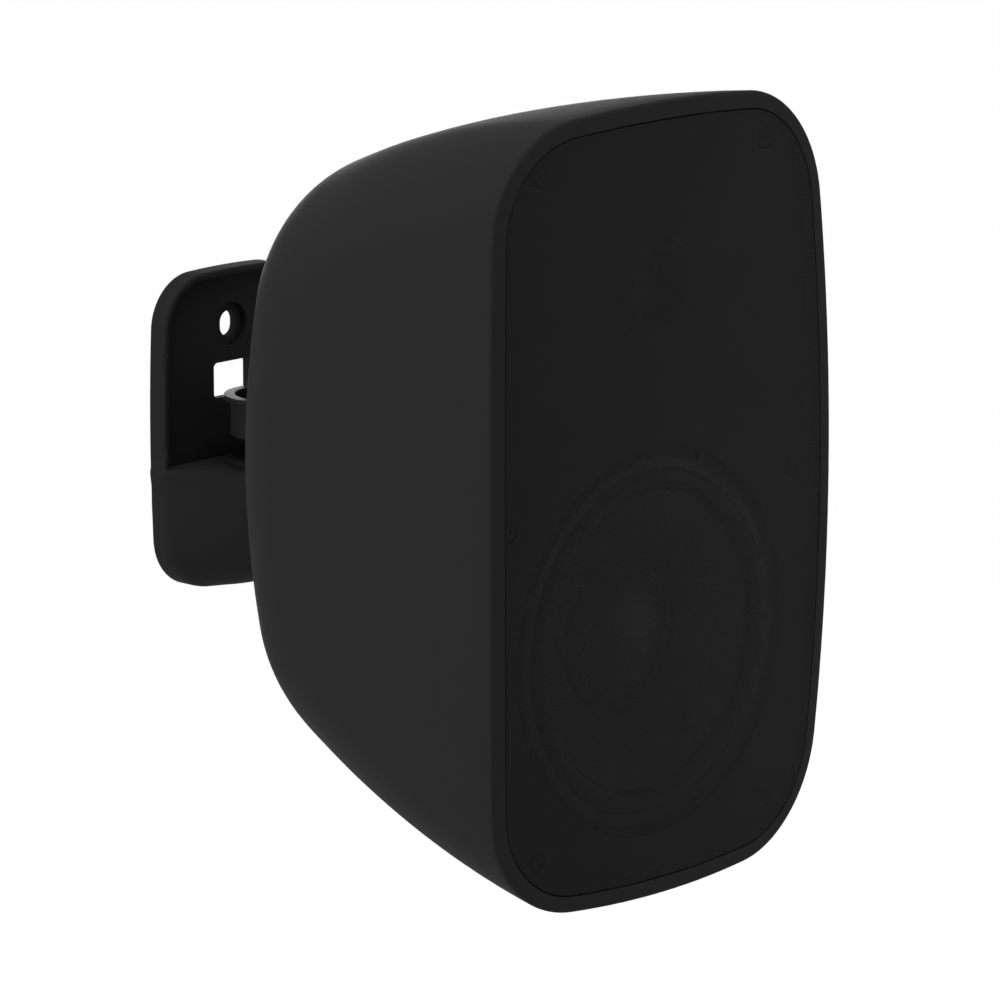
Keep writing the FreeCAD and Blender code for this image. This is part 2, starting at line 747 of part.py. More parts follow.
def make_front():
    """The baffle that carries both drivers, its gasket and screws, and the domed sheet in front of it."""
    edge = dim.rim_width.number + dim.baffle_clearance.number
    slab = shaped("baffle_slab", front_slab(edge, dim.baffle_face.number, baffle_back.number))
    mouth_y = at_depth(dim.tweeter_mouth_depth)
    collar_length = dim.baffle_face - dim.tweeter_mouth_depth
    collar_radius = dim.tweeter_mouth_radius + dim.tweeter_collar_wall
    collar = taper("tweeter_collar", collar_radius, collar_radius + dim.tweeter_collar_spread, collar_length,
                   sized(0), mouth_y, tweeter_z)
    throat = taper("tweeter_throat", dim.tweeter_mouth_radius, dim.tweeter_throat_radius,
                   baffle_back - dim.tweeter_mouth_depth, sized(0), mouth_y, tweeter_z)
    seat = dim.woofer_flange_face + dim.woofer_flange_thickness + dim.woofer_gasket_thickness
    rebate = rod("woofer_rebate", dim.woofer_flange_radius + dim.woofer_rebate_clearance,
                 seat - dim.baffle_face + 1, "y", 0, at_depth(dim.baffle_face - 1), woofer_z)
    opening = rod("woofer_opening", dim.woofer_cutout_radius, dim.baffle_thickness + 2, "y",
                  0, at_depth(dim.baffle_face - 1), woofer_z)
    head_seat = dim.baffle_face + dim.baffle_head_height
    drilled = holes("baffle_counterbore", baffle_screw_spots, dim.baffle_counterbore, dim.baffle_face - 1,
                    dim.baffle_head_height + 1)
    drilled += holes("baffle_hole", baffle_screw_spots, dim.baffle_screw_radius + dim.hole_clearance,
                     dim.baffle_face - 1, dim.baffle_thickness + 2)
    drilled += holes("woofer_pilot", woofer_screw_spots, dim.woofer_screw_radius + dim.thread_clearance,
                     seat - 1, dim.baffle_thickness)
    drilled += holes("tweeter_pilot", tweeter_screw_spots, dim.woofer_screw_radius + dim.thread_clearance,
                     baffle_back - dim.tweeter_screw_length + dim.tweeter_plate_thickness - 1,
                     dim.tweeter_screw_length)
    body = fuse("baffle_body", slab, collar)
    node("front_baffle", cut("front_baffle", body, throat, rebate, opening, *drilled))
    screws("baffle_screws", baffle_screw_spots, dim.baffle_screw_radius, dim.baffle_screw_length,
           dim.baffle_head_radius, dim.baffle_head_height, head_seat)

    frame = front_slab(edge, baffle_back.number, ledge_face.number)
    frame = frame.cut(front_slab(edge + dim.gasket_width.number, baffle_back.number, ledge_face.number))
    node("baffle_gasket", shaped("baffle_gasket", frame))

    outside = dim.rim_width.number + dim.grille_seam.number
    inside = outside + dim.grille_sheet.number
    sheet_metal = front_slab(outside, stock_front.number, dim.baffle_face.number).cut(front_dome_cutter(0.0))
    hollow = front_slab(inside, stock_front.number, dim.baffle_face.number)
    hollow = hollow.cut(front_dome_cutter(dim.grille_sheet.number))
    node("grille", shaped("grille", sheet_metal.cut(hollow)))


def spider_outline():
    """Section of the spider: a sheet pressed into rolls that bulge forwards and backwards by turns."""
    outer = dim.spider_shelf_radius - dim.bond_gap
    inner = dim.former_radius + dim.bond_gap
    rolls = 4
    pitch = (dim.spider_roll_outer - dim.spider_roll_inner) / rolls
    bulges = [dim.spider_roll_radius if roll % 2 == 0 else -dim.spider_roll_radius for roll in range(rolls)]
    front = [(dim.spider_roll_outer - pitch * roll, 0, bulge) for roll, bulge in enumerate(bulges)]
    back = [(dim.spider_roll_inner + pitch * roll, dim.spider_sheet, -bulge)
            for roll, bulge in enumerate(reversed(bulges))]
    return [
        (outer, 0),
        *front,
        (dim.spider_roll_inner, 0),
        (inner, 0),
        (inner, dim.spider_sheet),
        *back,
        (dim.spider_roll_outer, dim.spider_sheet),
        (outer, dim.spider_sheet),
    ]


def make_woofer():
    """The woofer, from its basket to its magnet, and the parts that its voice coil drives."""
    def part(name, outline, front):
        return turned(name, outline, 0, at_depth(front), woofer_z)

    face = dim.woofer_flange_face
    flange = dim.woofer_flange_thickness
    wall = dim.basket_wall
    shelf = dim.spider_shelf_depth - face
    shelf_inner = dim.spider_shelf_radius - dim.spider_shelf_width
    base = dim.basket_base_depth - face
    frame = part("basket_turned", [
        (dim.woofer_flange_radius, 0),
        (dim.woofer_flange_radius, flange),
        (dim.basket_throat_radius + 1.5 * wall, flange),
        (dim.spider_shelf_radius + wall, shelf),
        (dim.spider_shelf_radius + wall, shelf + wall),
        (shelf_inner + wall, shelf + wall),
        (shelf_inner + wall, base),
        (dim.basket_base_hole, base),
        (dim.basket_base_hole, base - wall),
        (shelf_inner, base - wall),
        (shelf_inner, shelf),
        (dim.spider_shelf_radius, shelf),
        (dim.spider_shelf_radius, shelf - wall),
        (dim.basket_throat_radius, flange),
        (dim.basket_throat_radius, 0),
    ], face)
    window_length = dim.basket_window_end - dim.basket_window_start
    span = 2 * dim.woofer_flange_radius
    window_y = at_depth(dim.basket_window_start)
    windows = [
        block("basket_window_wide", span, window_length, dim.basket_window_width, sized(0), window_y, woofer_z),
        block("basket_window_tall", dim.basket_window_width, window_length, span, sized(0), window_y, woofer_z),
    ]
    drilled = holes("basket_hole", woofer_screw_spots, dim.woofer_screw_radius + dim.thread_clearance,
                    face - 1, flange + 2)
    node("woofer_basket", cut("woofer_basket", frame, *windows, *drilled))

    gasket_front = face + flange
    gasket = part("woofer_gasket_ring", ring(dim.woofer_flange_radius, dim.woofer_cutout_radius, gasket_front,
                                             gasket_front + dim.woofer_gasket_thickness), gasket_front)
    gasket_holes = holes("gasket_hole", woofer_screw_spots, dim.woofer_screw_radius + dim.thread_clearance,
                         gasket_front - 1, dim.woofer_gasket_thickness + 2)
    node("woofer_gasket", cut("woofer_gasket", gasket, *gasket_holes))
    screws("woofer_screws", woofer_screw_spots, dim.woofer_screw_radius, dim.woofer_screw_length,
           dim.woofer_head_radius, dim.woofer_head_height, face)

    sheet_thickness = dim.surround_sheet
    land = sheet_thickness
    edge_front = dim.cone_edge_depth - face + sheet_thickness
    inner_end = dim.cone_radius + dim.bond_gap
    roll_skin = sheet_thickness / 2
    node("woofer_surround", part("woofer_surround", [
        (dim.surround_land_radius, 0),
        (dim.surround_land_radius, land),
        (dim.surround_roll_outer, land, dim.surround_roll_radius),
        (dim.surround_roll_inner, edge_front + sheet_thickness),
        (inner_end, edge_front + sheet_thickness),
        (inner_end, edge_front),
        (dim.surround_roll_inner - roll_skin, edge_front, -dim.surround_roll_radius - roll_skin),
        (dim.surround_roll_outer + roll_skin, 0),
    ], face - sheet_thickness))

    cone_front = dim.cone_edge_depth
    neck = dim.former_radius + dim.bond_gap
    neck_depth = dim.cone_neck_depth - cone_front
    node("woofer_cone", part("woofer_cone", [
        (dim.cone_radius, 0),
        (dim.cone_radius, dim.cone_sheet),
        (neck, neck_depth + dim.cone_sheet),
        (neck, neck_depth),
    ], cone_front))

    cap_front = dim.cap_edge_depth - dim.cap_rise
    cap_sphere = (dim.cap_radius * dim.cap_radius + dim.cap_rise * dim.cap_rise) / (2 * dim.cap_rise)
    node("dust_cap", part("dust_cap", [
        (0, 0, -cap_sphere),
        (dim.cap_radius, dim.cap_rise),
        (dim.cap_radius - dim.cap_sheet, dim.cap_rise + dim.cap_sheet / 2, cap_sphere),
        (0, dim.cap_sheet),
    ], cap_front))

    former_front = dim.former_front
    node("voice_coil_former", part("voice_coil_former", ring(
        dim.former_radius, dim.former_radius - dim.former_sheet, former_front, dim.former_back), former_front))
    winding_front = dim.former_back - dim.winding_length
    winding_radius = dim.former_radius + dim.bond_gap + dim.winding_thickness
    node("voice_coil_winding", part("voice_coil_winding", ring(
        winding_radius, dim.former_radius + dim.bond_gap, winding_front, dim.former_back), winding_front))

    node("spider", part("spider", spider_outline(), dim.spider_shelf_depth - dim.spider_sheet))

    plate_front = dim.basket_base_depth
    magnet_front = plate_front + dim.top_plate_thickness
    yoke_front = magnet_front + dim.magnet_thickness
    pole = dim.former_radius - dim.former_sheet - dim.coil_gap
    node("woofer_top_plate", part("woofer_top_plate", ring(
        dim.top_plate_radius, winding_radius + dim.coil_gap, plate_front, magnet_front), plate_front))
    node("woofer_magnet", part("woofer_magnet", ring(
        dim.magnet_radius, dim.magnet_hole, magnet_front, yoke_front), magnet_front))
    pole_length = yoke_front - plate_front
    node("woofer_yoke", part("woofer_yoke", [
        (pole, 0),
        (pole, pole_length),
        (dim.magnet_radius, pole_length),
        (dim.magnet_radius, pole_length + dim.yoke_plate_thickness),
        (dim.pole_vent_radius, pole_length + dim.yoke_plate_thickness),
        (dim.pole_vent_radius, 0),
    ], plate_front))


def make_tweeter():
    """The dome tweeter, screwed to the back of the baffle behind its flared mouth."""
    def part(name, outline, front):
        return turned(name, outline, 0, at_depth(front), tweeter_z)

    plate = dim.tweeter_plate_thickness
    coil_radius = dim.tweeter_dome_radius + dim.tweeter_membrane
    gap_radius = coil_radius + dim.tweeter_coil_gap
    rebate = dim.tweeter_land_radius + dim.bond_gap
    plate_turned = part("tweeter_plate_turned", [
        (dim.tweeter_plate_radius, 0),
        (dim.tweeter_plate_radius, plate),
        (gap_radius, plate),
        (gap_radius, dim.tweeter_rebate_depth),
        (rebate, dim.tweeter_rebate_depth),
        (rebate, 0),
    ], baffle_back)
    plate_holes = holes("tweeter_hole", tweeter_screw_spots, dim.woofer_screw_radius + dim.hole_clearance,
                        baffle_back - 1, plate + 2)
    node("tweeter_plate", cut("tweeter_plate", plate_turned, *plate_holes))

    rise = dim.tweeter_dome_rise
    membrane = dim.tweeter_membrane
    outer_sphere = (coil_radius * coil_radius + rise * rise) / (2 * rise)
    inner_sphere = (dim.tweeter_dome_radius * dim.tweeter_dome_radius + rise * rise) / (2 * rise)
    dome_front = baffle_back + dim.tweeter_rebate_depth - membrane - rise
    node("tweeter_dome", part("tweeter_dome", [
        (0, 0, -outer_sphere),
        (coil_radius, rise),
        (dim.tweeter_land_radius, rise),
        (dim.tweeter_land_radius, rise + membrane),
        (coil_radius, rise + membrane),
        (coil_radius, rise + membrane + dim.tweeter_coil_length),
        (dim.tweeter_dome_radius, rise + membrane + dim.tweeter_coil_length),
        (dim.tweeter_dome_radius, rise + membrane, inner_sphere),
        (0, membrane),
    ], dome_front))

    magnet_front = baffle_back + plate
    yoke_front = magnet_front + dim.tweeter_magnet_thickness
    node("tweeter_magnet", part("tweeter_magnet", ring(
        dim.tweeter_magnet_radius, dim.tweeter_magnet_hole, magnet_front, yoke_front), magnet_front))
    pole = dim.tweeter_dome_radius - dim.tweeter_coil_gap
    pole_front = baffle_back + dim.tweeter_rebate_depth
    pole_length = yoke_front - pole_front
    node("tweeter_yoke", part("tweeter_yoke", [
        (0, 0),
        (0, pole_length + dim.tweeter_yoke_thickness),
        (dim.tweeter_magnet_radius, pole_length + dim.tweeter_yoke_thickness),
        (dim.tweeter_magnet_radius, pole_length),
        (pole, pole_length),
        (pole, 0),
    ], pole_front))
    back_screws("tweeter_screws", tweeter_screw_spots, dim.woofer_screw_radius, dim.tweeter_screw_length,
                dim.board_head_radius, dim.board_head_height, baffle_back + plate)


def make_electrics():
    """The crossover board on its four standoffs, and the terminals in the pocket behind it."""
    middle = board_front - dim.capacitor_radius
    board = block("board_sheet", dim.board_width, dim.board_thickness, dim.board_height, sized(0),
                  at_depth(board_front), dim.board_z)
    board_holes = holes("board_hole", standoff_spots, dim.board_screw_radius + dim.hole_clearance,
                        board_front - 1, dim.board_thickness + 2)
    node("crossover_board", cut("crossover_board", board, *board_holes))
    screws("board_screws", standoff_spots, dim.board_screw_radius, dim.board_screw_length,
           dim.board_head_radius, dim.board_head_height, board_front)

    coils = []
    for name, x, radius, length in (
        ("large_coil", dim.large_coil_x, dim.large_coil_radius, dim.large_coil_length),
        ("small_coil", dim.small_coil_x, dim.small_coil_radius, dim.small_coil_length),
    ):
        outline = ring(radius, dim.coil_core_radius, board_front - length, board_front)
        coils.append(turned(name, outline, x, at_depth(board_front - length), dim.coil_row_z))
    group("inductors", coils)

    cans = []
    for index in range(2):
        cans.append(rod(f"capacitor_{index}", dim.capacitor_radius, dim.capacitor_length, "x",
                        -dim.capacitor_length / 2, at_depth(middle),
                        dim.capacitor_row_z - dim.capacitor_pitch * index))
    group("capacitors", cans)
    node("resistor", block("resistor", dim.resistor_length, dim.resistor_side, dim.resistor_side, sized(0),
                           at_depth(board_front - dim.resistor_side), dim.resistor_z))

    plate = block("terminal_sheet", dim.terminal_plate_width, dim.terminal_plate_thickness,
                  dim.terminal_plate_height, sized(0), at_depth(pocket_floor), dim.terminal_z)
    window = block("terminal_gap", dim.terminal_block_width + 2 * dim.bond_gap,
                   dim.terminal_plate_thickness + 2, dim.terminal_block_height + 2 * dim.bond_gap,
                   sized(0), at_depth(pocket_floor - 1), dim.terminal_z)
    plate_holes = holes("terminal_hole", terminal_screw_spots, dim.board_screw_radius + dim.hole_clearance,
                        pocket_floor - 1, dim.terminal_plate_thickness + 2)
    node("terminal_plate", cut("terminal_plate", plate, window, *plate_holes))
    back_screws("terminal_screws", terminal_screw_spots, dim.board_screw_radius, dim.board_screw_length,
                dim.board_head_radius, dim.board_head_height, pocket_floor + dim.terminal_plate_thickness)
    bar = block("terminal_bar", dim.terminal_block_width, dim.terminal_block_front + dim.terminal_block_back,
                dim.terminal_block_height, sized(0), at_depth(pocket_floor - dim.terminal_block_front),
                dim.terminal_z)
    bar_back = pocket_floor + dim.terminal_block_back
    pole_spots = [(dim.pole_x * sign, dim.terminal_z) for sign in (-1, 1)]
    poles = holes("pole_well", pole_spots, dim.pole_well_radius, bar_back - dim.pole_well_depth,
                  dim.pole_well_depth + 1)
    for index, (x, z) in enumerate(pole_spots):
        entry_y = at_depth(bar_back - dim.wire_entry_depth - dim.wire_entry_inset)
        entry_z = z - dim.terminal_block_height / 2 + dim.wire_entry_height / 2 - 1
        poles.append(block(f"wire_entry_{index}", dim.wire_entry_width, dim.wire_entry_depth,
                           dim.wire_entry_height, x, entry_y, entry_z))
    node("terminal_block", cut("terminal_block", bar, *poles))


def make_tilt_hinge():
    """The clevis in the pocket, and the bolt that clamps the arm's barrel between its ears."""
    ear_inner = dim.barrel_width / 2 + dim.barrel_side_gap
    ear_outer = ear_inner + dim.clevis_ear
    floor_y = at_depth(pocket_floor)
    base = block("clevis_base", dim.clevis_base_width, dim.clevis_base_thickness, dim.clevis_base_height,
                 sized(0), floor_y, dim.tilt_z)
    pieces = [base]
    for sign in (-1, 1):
        side = "left" if sign < 0 else "right"
        middle = (ear_inner + dim.clevis_ear / 2) * sign
        pieces.append(block(f"clevis_ear_{side}", dim.clevis_ear, -tilt_reach - floor_y,
                            2 * dim.clevis_ear_radius, middle, floor_y, dim.tilt_z))
        pieces.append(rod(f"clevis_eye_{side}", dim.clevis_ear_radius, dim.clevis_ear, "x",
                          middle - dim.clevis_ear / 2, -tilt_reach, dim.tilt_z))
    bolt_hole = rod("clevis_bolt_hole", dim.tilt_bolt_radius + dim.running_clearance, 2 * ear_outer + 2, "x",
                    -ear_outer - 1, -tilt_reach, dim.tilt_z)
    screw_holes = holes("clevis_hole", clevis_screw_spots, dim.clevis_screw_radius + dim.hole_clearance,
                        pocket_floor - 1, dim.clevis_base_thickness + 2)
    node("rear_clevis", cut("rear_clevis", fuse("clevis_body", *pieces), bolt_hole, *screw_holes))
    back_screws("clevis_screws", clevis_screw_spots, dim.clevis_screw_radius, dim.clevis_screw_length,
                dim.clevis_head_radius, dim.clevis_head_height, pocket_floor + dim.clevis_base_thickness)

    washer = dim.tilt_washer_thickness
    reach = ear_outer + washer
    hole = dim.tilt_bolt_radius + dim.running_clearance
    washers = []
    for sign, start in ((-1, -reach), (1, ear_outer)):
        disc = rod(f"tilt_washer_disc_{sign}", dim.tilt_washer_radius, washer, "x", start, -tilt_reach,
                   dim.tilt_z)
        eye = rod(f"tilt_washer_eye_{sign}", hole, washer + 2, "x", start - 1, -tilt_reach, dim.tilt_z)
        washers.append(cut(f"tilt_washer_{sign}", disc, eye))
    group("tilt_washers", washers)
    tail = reach + dim.tilt_nut_height + dim.tilt_bolt_tail
    head = rod("tilt_head", dim.tilt_head_radius, dim.tilt_head_height, "x", reach, -tilt_reach, dim.tilt_z)
    stem = rod("tilt_stem", dim.tilt_bolt_radius, reach + tail, "x", -tail, -tilt_reach, dim.tilt_z)
    node("tilt_bolt", fuse("tilt_bolt", head, stem))
    nut = hex_bar("tilt_nut_bar", dim.tilt_nut_radius, dim.tilt_nut_height, "x", -reach - dim.tilt_nut_height,
                  -tilt_reach, dim.tilt_z)
    nut_hole = rod("tilt_nut_hole", dim.tilt_bolt_radius + dim.thread_clearance, dim.tilt_nut_height + 2, "x",
                   -reach - dim.tilt_nut_height - 1, -tilt_reach, dim.tilt_z)
    node("tilt_nut", cut("tilt_nut", nut, nut_hole))


def make_swivel():
    """The arm's drum on its vertical pivot bolt, with the bushing and friction disc under it."""
    y = -dim.pan_reach
    drum_height = dim.drum_top - dim.drum_bottom
    drum = rod("drum", dim.drum_radius, drum_height, "z", 0, y, dim.drum_bottom)
    lip = rod("drum_lip", dim.drum_radius + dim.drum_lip, dim.drum_lip_height, "z", 0, y,
              dim.drum_top - dim.drum_lip_height)
    beam_length = tilt_reach - dim.pan_reach
    beam = block("arm_beam", dim.barrel_width, beam_length, 2 * dim.barrel_radius, sized(0), -tilt_reach,
                 dim.tilt_z)
    barrel = rod("arm_barrel", dim.barrel_radius, dim.barrel_width, "x", -dim.barrel_width / 2, -tilt_reach,
                 dim.tilt_z)
    web_top = dim.drum_bottom + dim.drum_web
    bore = rod("drum_bore", dim.drum_bore_radius, drum_height, "z", 0, y, web_top)
    bolt_hole = rod("drum_bolt_hole", dim.pivot_bolt_radius + dim.running_clearance, drum_height, "z", 0, y,
                    dim.drum_bottom - 1)
    tilt_hole = rod("barrel_hole", dim.tilt_bolt_radius + dim.running_clearance, dim.barrel_width + 2, "x",
                    -dim.barrel_width / 2 - 1, -tilt_reach, dim.tilt_z)
    body = fuse("arm_body", drum, lip, beam, barrel)
    node("swivel_arm", cut("swivel_arm", body, bore, bolt_hole, tilt_hole))

    disc_top = dim.shelf_z + dim.disc_thickness
    hole = dim.pivot_bolt_radius + dim.running_clearance
    sleeve = rod("bushing_bar", dim.bushing_radius, dim.drum_bottom - disc_top, "z", 0, y, disc_top)
    sleeve_hole = rod("bushing_hole", hole, dim.drum_bottom - disc_top + 2, "z", 0, y, disc_top - 1)
    node("pivot_bushing", cut("pivot_bushing", sleeve, sleeve_hole))
    disc = rod("disc_bar", dim.disc_radius, dim.disc_thickness, "z", 0, y, dim.shelf_z)
    disc_hole = rod("disc_hole", hole, dim.disc_thickness + 2, "z", 0, y, dim.shelf_z - 1)
    node("friction_disc", cut("friction_disc", disc, disc_hole))
    washer = rod("washer_bar", dim.pivot_washer_radius, dim.pivot_washer_thickness, "z", 0, y, web_top)
    washer_hole = rod("washer_hole", hole, dim.pivot_washer_thickness + 2, "z", 0, y, web_top - 1)
    node("pivot_washer", cut("pivot_washer", washer, washer_hole))

    head_z = web_top + dim.pivot_washer_thickness
    nut_z = dim.shelf_z - dim.shelf_thickness - dim.pivot_nut_height
    tail_z = nut_z - dim.pivot_bolt_tail
    head = rod("pivot_head", dim.pivot_head_radius, dim.pivot_head_height, "z", 0, y, head_z)
    stem = rod("pivot_stem", dim.pivot_bolt_radius, head_z - tail_z, "z", 0, y, tail_z)
    socket = hex_bar("pivot_socket", dim.pivot_bolt_radius, dim.pivot_head_height, "z", 0, y,
                     head_z + dim.pivot_head_height / 2)
    node("pivot_bolt", cut("pivot_bolt", fuse("pivot_bolt_body", head, stem), socket))
    nut = hex_bar("pivot_nut_bar", dim.pivot_nut_radius, dim.pivot_nut_height, "z", 0, y, nut_z)
    nut_hole = rod("pivot_nut_hole", dim.pivot_bolt_radius + dim.thread_clearance, dim.pivot_nut_height + 2,
                   "z", 0, y, nut_z - 1)
    node("pivot_nut", cut("pivot_nut", nut, nut_hole))


def plate_half_width_at(z):
    """Half the wall plate's width at a height, with its bowed sides and round lower corners."""
    half = dim.plate_half_width.number
    bow = dim.plate_side_radius.number
    corner = dim.plate_corner.number
    middle = (dim.plate_top.number + dim.plate_bottom.number) / 2
    corner_z = dim.plate_bottom.number + corner

    def side(height):
        return half - bow + math.sqrt(bow ** 2 - (height - middle) ** 2)

    if z >= corner_z:
        return side(z)
    return side(corner_z) - corner + math.sqrt(max(0.0, corner ** 2 - (corner_z - z) ** 2))


def nose_section(z, shrink):
    """One level of the bracket's nose: straight sides at the wall, soft edges and a round front."""
    top, foot = dim.shelf_z.number, dim.plate_bottom.number
    fall = min(1.0, (top - z) / (top - foot))
    foot_reach = dim.nose_foot_reach.number
    full_reach = dim.pan_reach.number + dim.nose_radius.number
    front = foot_reach + (full_reach - foot_reach) * math.sqrt(1 - fall ** dim.nose_fullness.number)
    least, most = dim.nose_edge_least.number, dim.nose_edge_most.number
    edge = least + (most - least) * math.sin(math.pi * fall ** 0.6)
    # The soft edge starts where it touches both the side and the flank behind it.
    side_end = dim.plate_rim.number - 0.45 * edge
    half = plate_half_width_at(z)
    edge_centre = Vector(half - edge, -side_end, z)
    nose_centre = Vector(0, dim.nose_radius.number - front, z)
    edge_radius = max(edge - shrink, shrink / 4)
    nose_radius = dim.nose_radius.number - shrink
    line = nose_centre - edge_centre
    unit = Vector(line).normalize()
    lean = (edge_radius - nose_radius) / line.Length
    out = unit * lean + Vector(-unit.y, unit.x, 0) * math.sqrt(1 - lean ** 2)
    halfway = (out + Vector(1, 0, 0)).normalize()
    back = shrink / 4
    side_x = edge_centre.x + edge_radius
    right = [
        Vector(side_x, back, z),
        Vector(side_x, -side_end, z),
        edge_centre + halfway * edge_radius,
        edge_centre + out * edge_radius,
        nose_centre + out * nose_radius,
    ]
    left = [Vector(-point.x, point.y, z) for point in right]
    return Part.Wire([
        Part.LineSegment(right[0], right[1]).toShape(),
        Part.Arc(right[1], right[2], right[3]).toShape(),
        Part.LineSegment(right[3], right[4]).toShape(),
        Part.Arc(right[4], nose_centre + Vector(0, -nose_radius, 0), left[4]).toShape(),
        Part.LineSegment(left[4], left[3]).toShape(),
        Part.Arc(left[3], left[2], left[1]).toShape(),
        Part.LineSegment(left[1], left[0]).toShape(),
        Part.LineSegment(left[0], right[0]).toShape(),
    ])


def nose_loft(top_z, foot_z, shrink):
    """The nose between two levels, with its sections closer together towards the foot."""
    span_count = 12
    levels = [top_z + (foot_z - top_z) * math.sin(math.pi / 2 * step / span_count)
              for step in range(span_count + 1)]
    return Part.makeLoft([nose_section(z, shrink) for z in levels], True, False)


def plate_slab(inset, first_y, last_y):
    """A straight slab with the wall plate's outline between two planes."""
    outline = soft_outline(
        dim.plate_half_width.number, dim.plate_top.number, dim.plate_bottom.number,
        dim.plate_side_radius.number, dim.plate_end_radius.number, dim.plate_corner.number, inset, first_y)
    return Part.Face(outline).extrude(Vector(0, last_y - first_y, 0))


def slot(name, width, length, depth, y, z):
    """A vertical slot on the centre line, with round ends, that starts at y and runs backwards."""
    half = (length - width) / 2
    return [
        rod(name + "_top", width / 2, depth, "y", 0, y, z + half),
        rod(name + "_foot", width / 2, depth, "y", 0, y, z - half),
        block(name + "_waist", width, depth, length - width, sized(0), y, z),
    ]


def make_wall_plate():
    """The moulded wall plate: a dished upper half, and a hollow nose that carries the pivot."""
    shelf = dim.shelf_z.number
    rim = dim.plate_rim.number
    wide = 2 * dim.plate_half_width.number
    tall = dim.plate_top.number - shelf
    relief = dim.plate_back_relief.number
    rib = dim.plate_rib.number
    wall = dim.nose_wall.number
    above_shelf = Part.makeBox(wide, 2 * rim, tall, Vector(-wide / 2, -rim, shelf))
    slab = plate_slab(0.0, -rim, 0.0)
    front_face = min(slab.Faces, key=lambda face: face.CenterOfMass.y)
    plate = slab.makeFillet(dim.plate_edge_radius.number, front_face.OuterWire.Edges).common(above_shelf)
    dish = plate_slab(dim.plate_rim_wall.number, -rim, -dim.plate_floor.number).common(above_shelf)
    hollow_top = shelf - dim.shelf_thickness.number
    relief_room = plate_slab(dim.plate_rim_wall.number, -relief, 1.0).common(above_shelf)
    # Ribs and pads stay at full depth in the relief, so that the plate bears on the wall along them.
    for x in (-dim.plate_rib_x.number, dim.plate_rib_x.number):
        relief_room = relief_room.cut(Part.makeBox(rib, 2 * rim, tall, Vector(x - rib / 2, -rim, shelf)))
    for z in (shelf, dim.cable_hole_z.number + dim.cable_hole_height.number / 2 + rib):
        relief_room = relief_room.cut(Part.makeBox(wide, 2 * rim, rib, Vector(-wide / 2, -rim, z)))
    pad = Part.makeCylinder(dim.slot_seat_length.number / 2, 2 * rim, Vector(0, -rim, dim.slot_z.number),
                            Vector(0, 1, 0))
    relief_room = relief_room.cut(pad)
    nose = nose_loft(shelf, dim.plate_bottom.number + rib / 4, 0.0)
    hollow = nose_loft(hollow_top, dim.plate_bottom.number + wall, wall)
    # Two ribs brace the nose's front, and a deep well leads to the lower fixing screw.
    reach = dim.pan_reach.number + dim.nose_radius.number
    for x in (-dim.nose_rib_x.number, dim.nose_rib_x.number):
        foot = Vector(x - rib / 2, -reach - dim.nose_rib_back.number, hollow_top - tall)
        hollow = hollow.cut(Part.makeBox(rib, reach, tall, foot))
    well_end = Vector(0, -reach, dim.well_z.number)
    well = Part.makeCylinder(dim.well_radius.number + dim.well_wall.number, reach, well_end, Vector(0, 1, 0))
    body = shaped("plate_body", plate.cut(dish).cut(relief_room).fuse(nose).cut(hollow.cut(well)))

    y = -dim.plate_rim
    seat_y = -dim.plate_floor - 1
    cuts = slot("screw_slot", dim.slot_width, dim.slot_length, dim.plate_rim + 1, y, dim.slot_z)
    cuts += slot("slot_seat", dim.slot_seat_width, dim.slot_seat_length, dim.slot_seat_depth + 1, seat_y,
                 dim.slot_z)
    long_way = dim.pan_reach + dim.nose_radius
    cuts.append(rod("screw_well", dim.well_radius, long_way - dim.plate_floor, "y", 0, -long_way, dim.well_z))
    cuts += slot("well_slot", dim.slot_width, dim.slot_length, long_way + 1, -long_way, dim.well_z)
    cuts.append(round_block("cable_hole", dim.cable_hole_width, dim.plate_rim + 1, dim.cable_hole_height,
                            dim.cable_hole_corner, sized(0), y, dim.cable_hole_z))
    cuts.append(rod("shelf_hole", dim.pivot_bolt_radius + dim.running_clearance, dim.shelf_thickness + 2, "z",
                    0, -dim.pan_reach, dim.shelf_z - dim.shelf_thickness - 1))
    node("wall_plate", cut("wall_plate", body, *cuts))


make_cabinet()
make_front()
make_woofer()
make_tweeter()
make_electrics()
make_tilt_hinge()
make_swivel()
make_wall_plate()
doc.recompute()

for item in doc.Objects:
    if {"Invalid", "Error"} & set(item.State):
        raise RuntimeError(f"{item.Name} did not build: {item.State}")
for name, item in nodes.items():
    if item.Shape.isNull() or not item.Shape.isValid() or not item.Shape.Solids:
        raise RuntimeError(f"{name} has no valid solid")

os.makedirs("parts", exist_ok=True)
for name, item in nodes.items():
    item.Shape.exportStep(f"parts/{name}.step")
    print(name, len(item.Shape.Solids), round(item.Shape.Volume))
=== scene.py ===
import json
import math

import bmesh
import bpy
from mathutils import Matrix, Vector


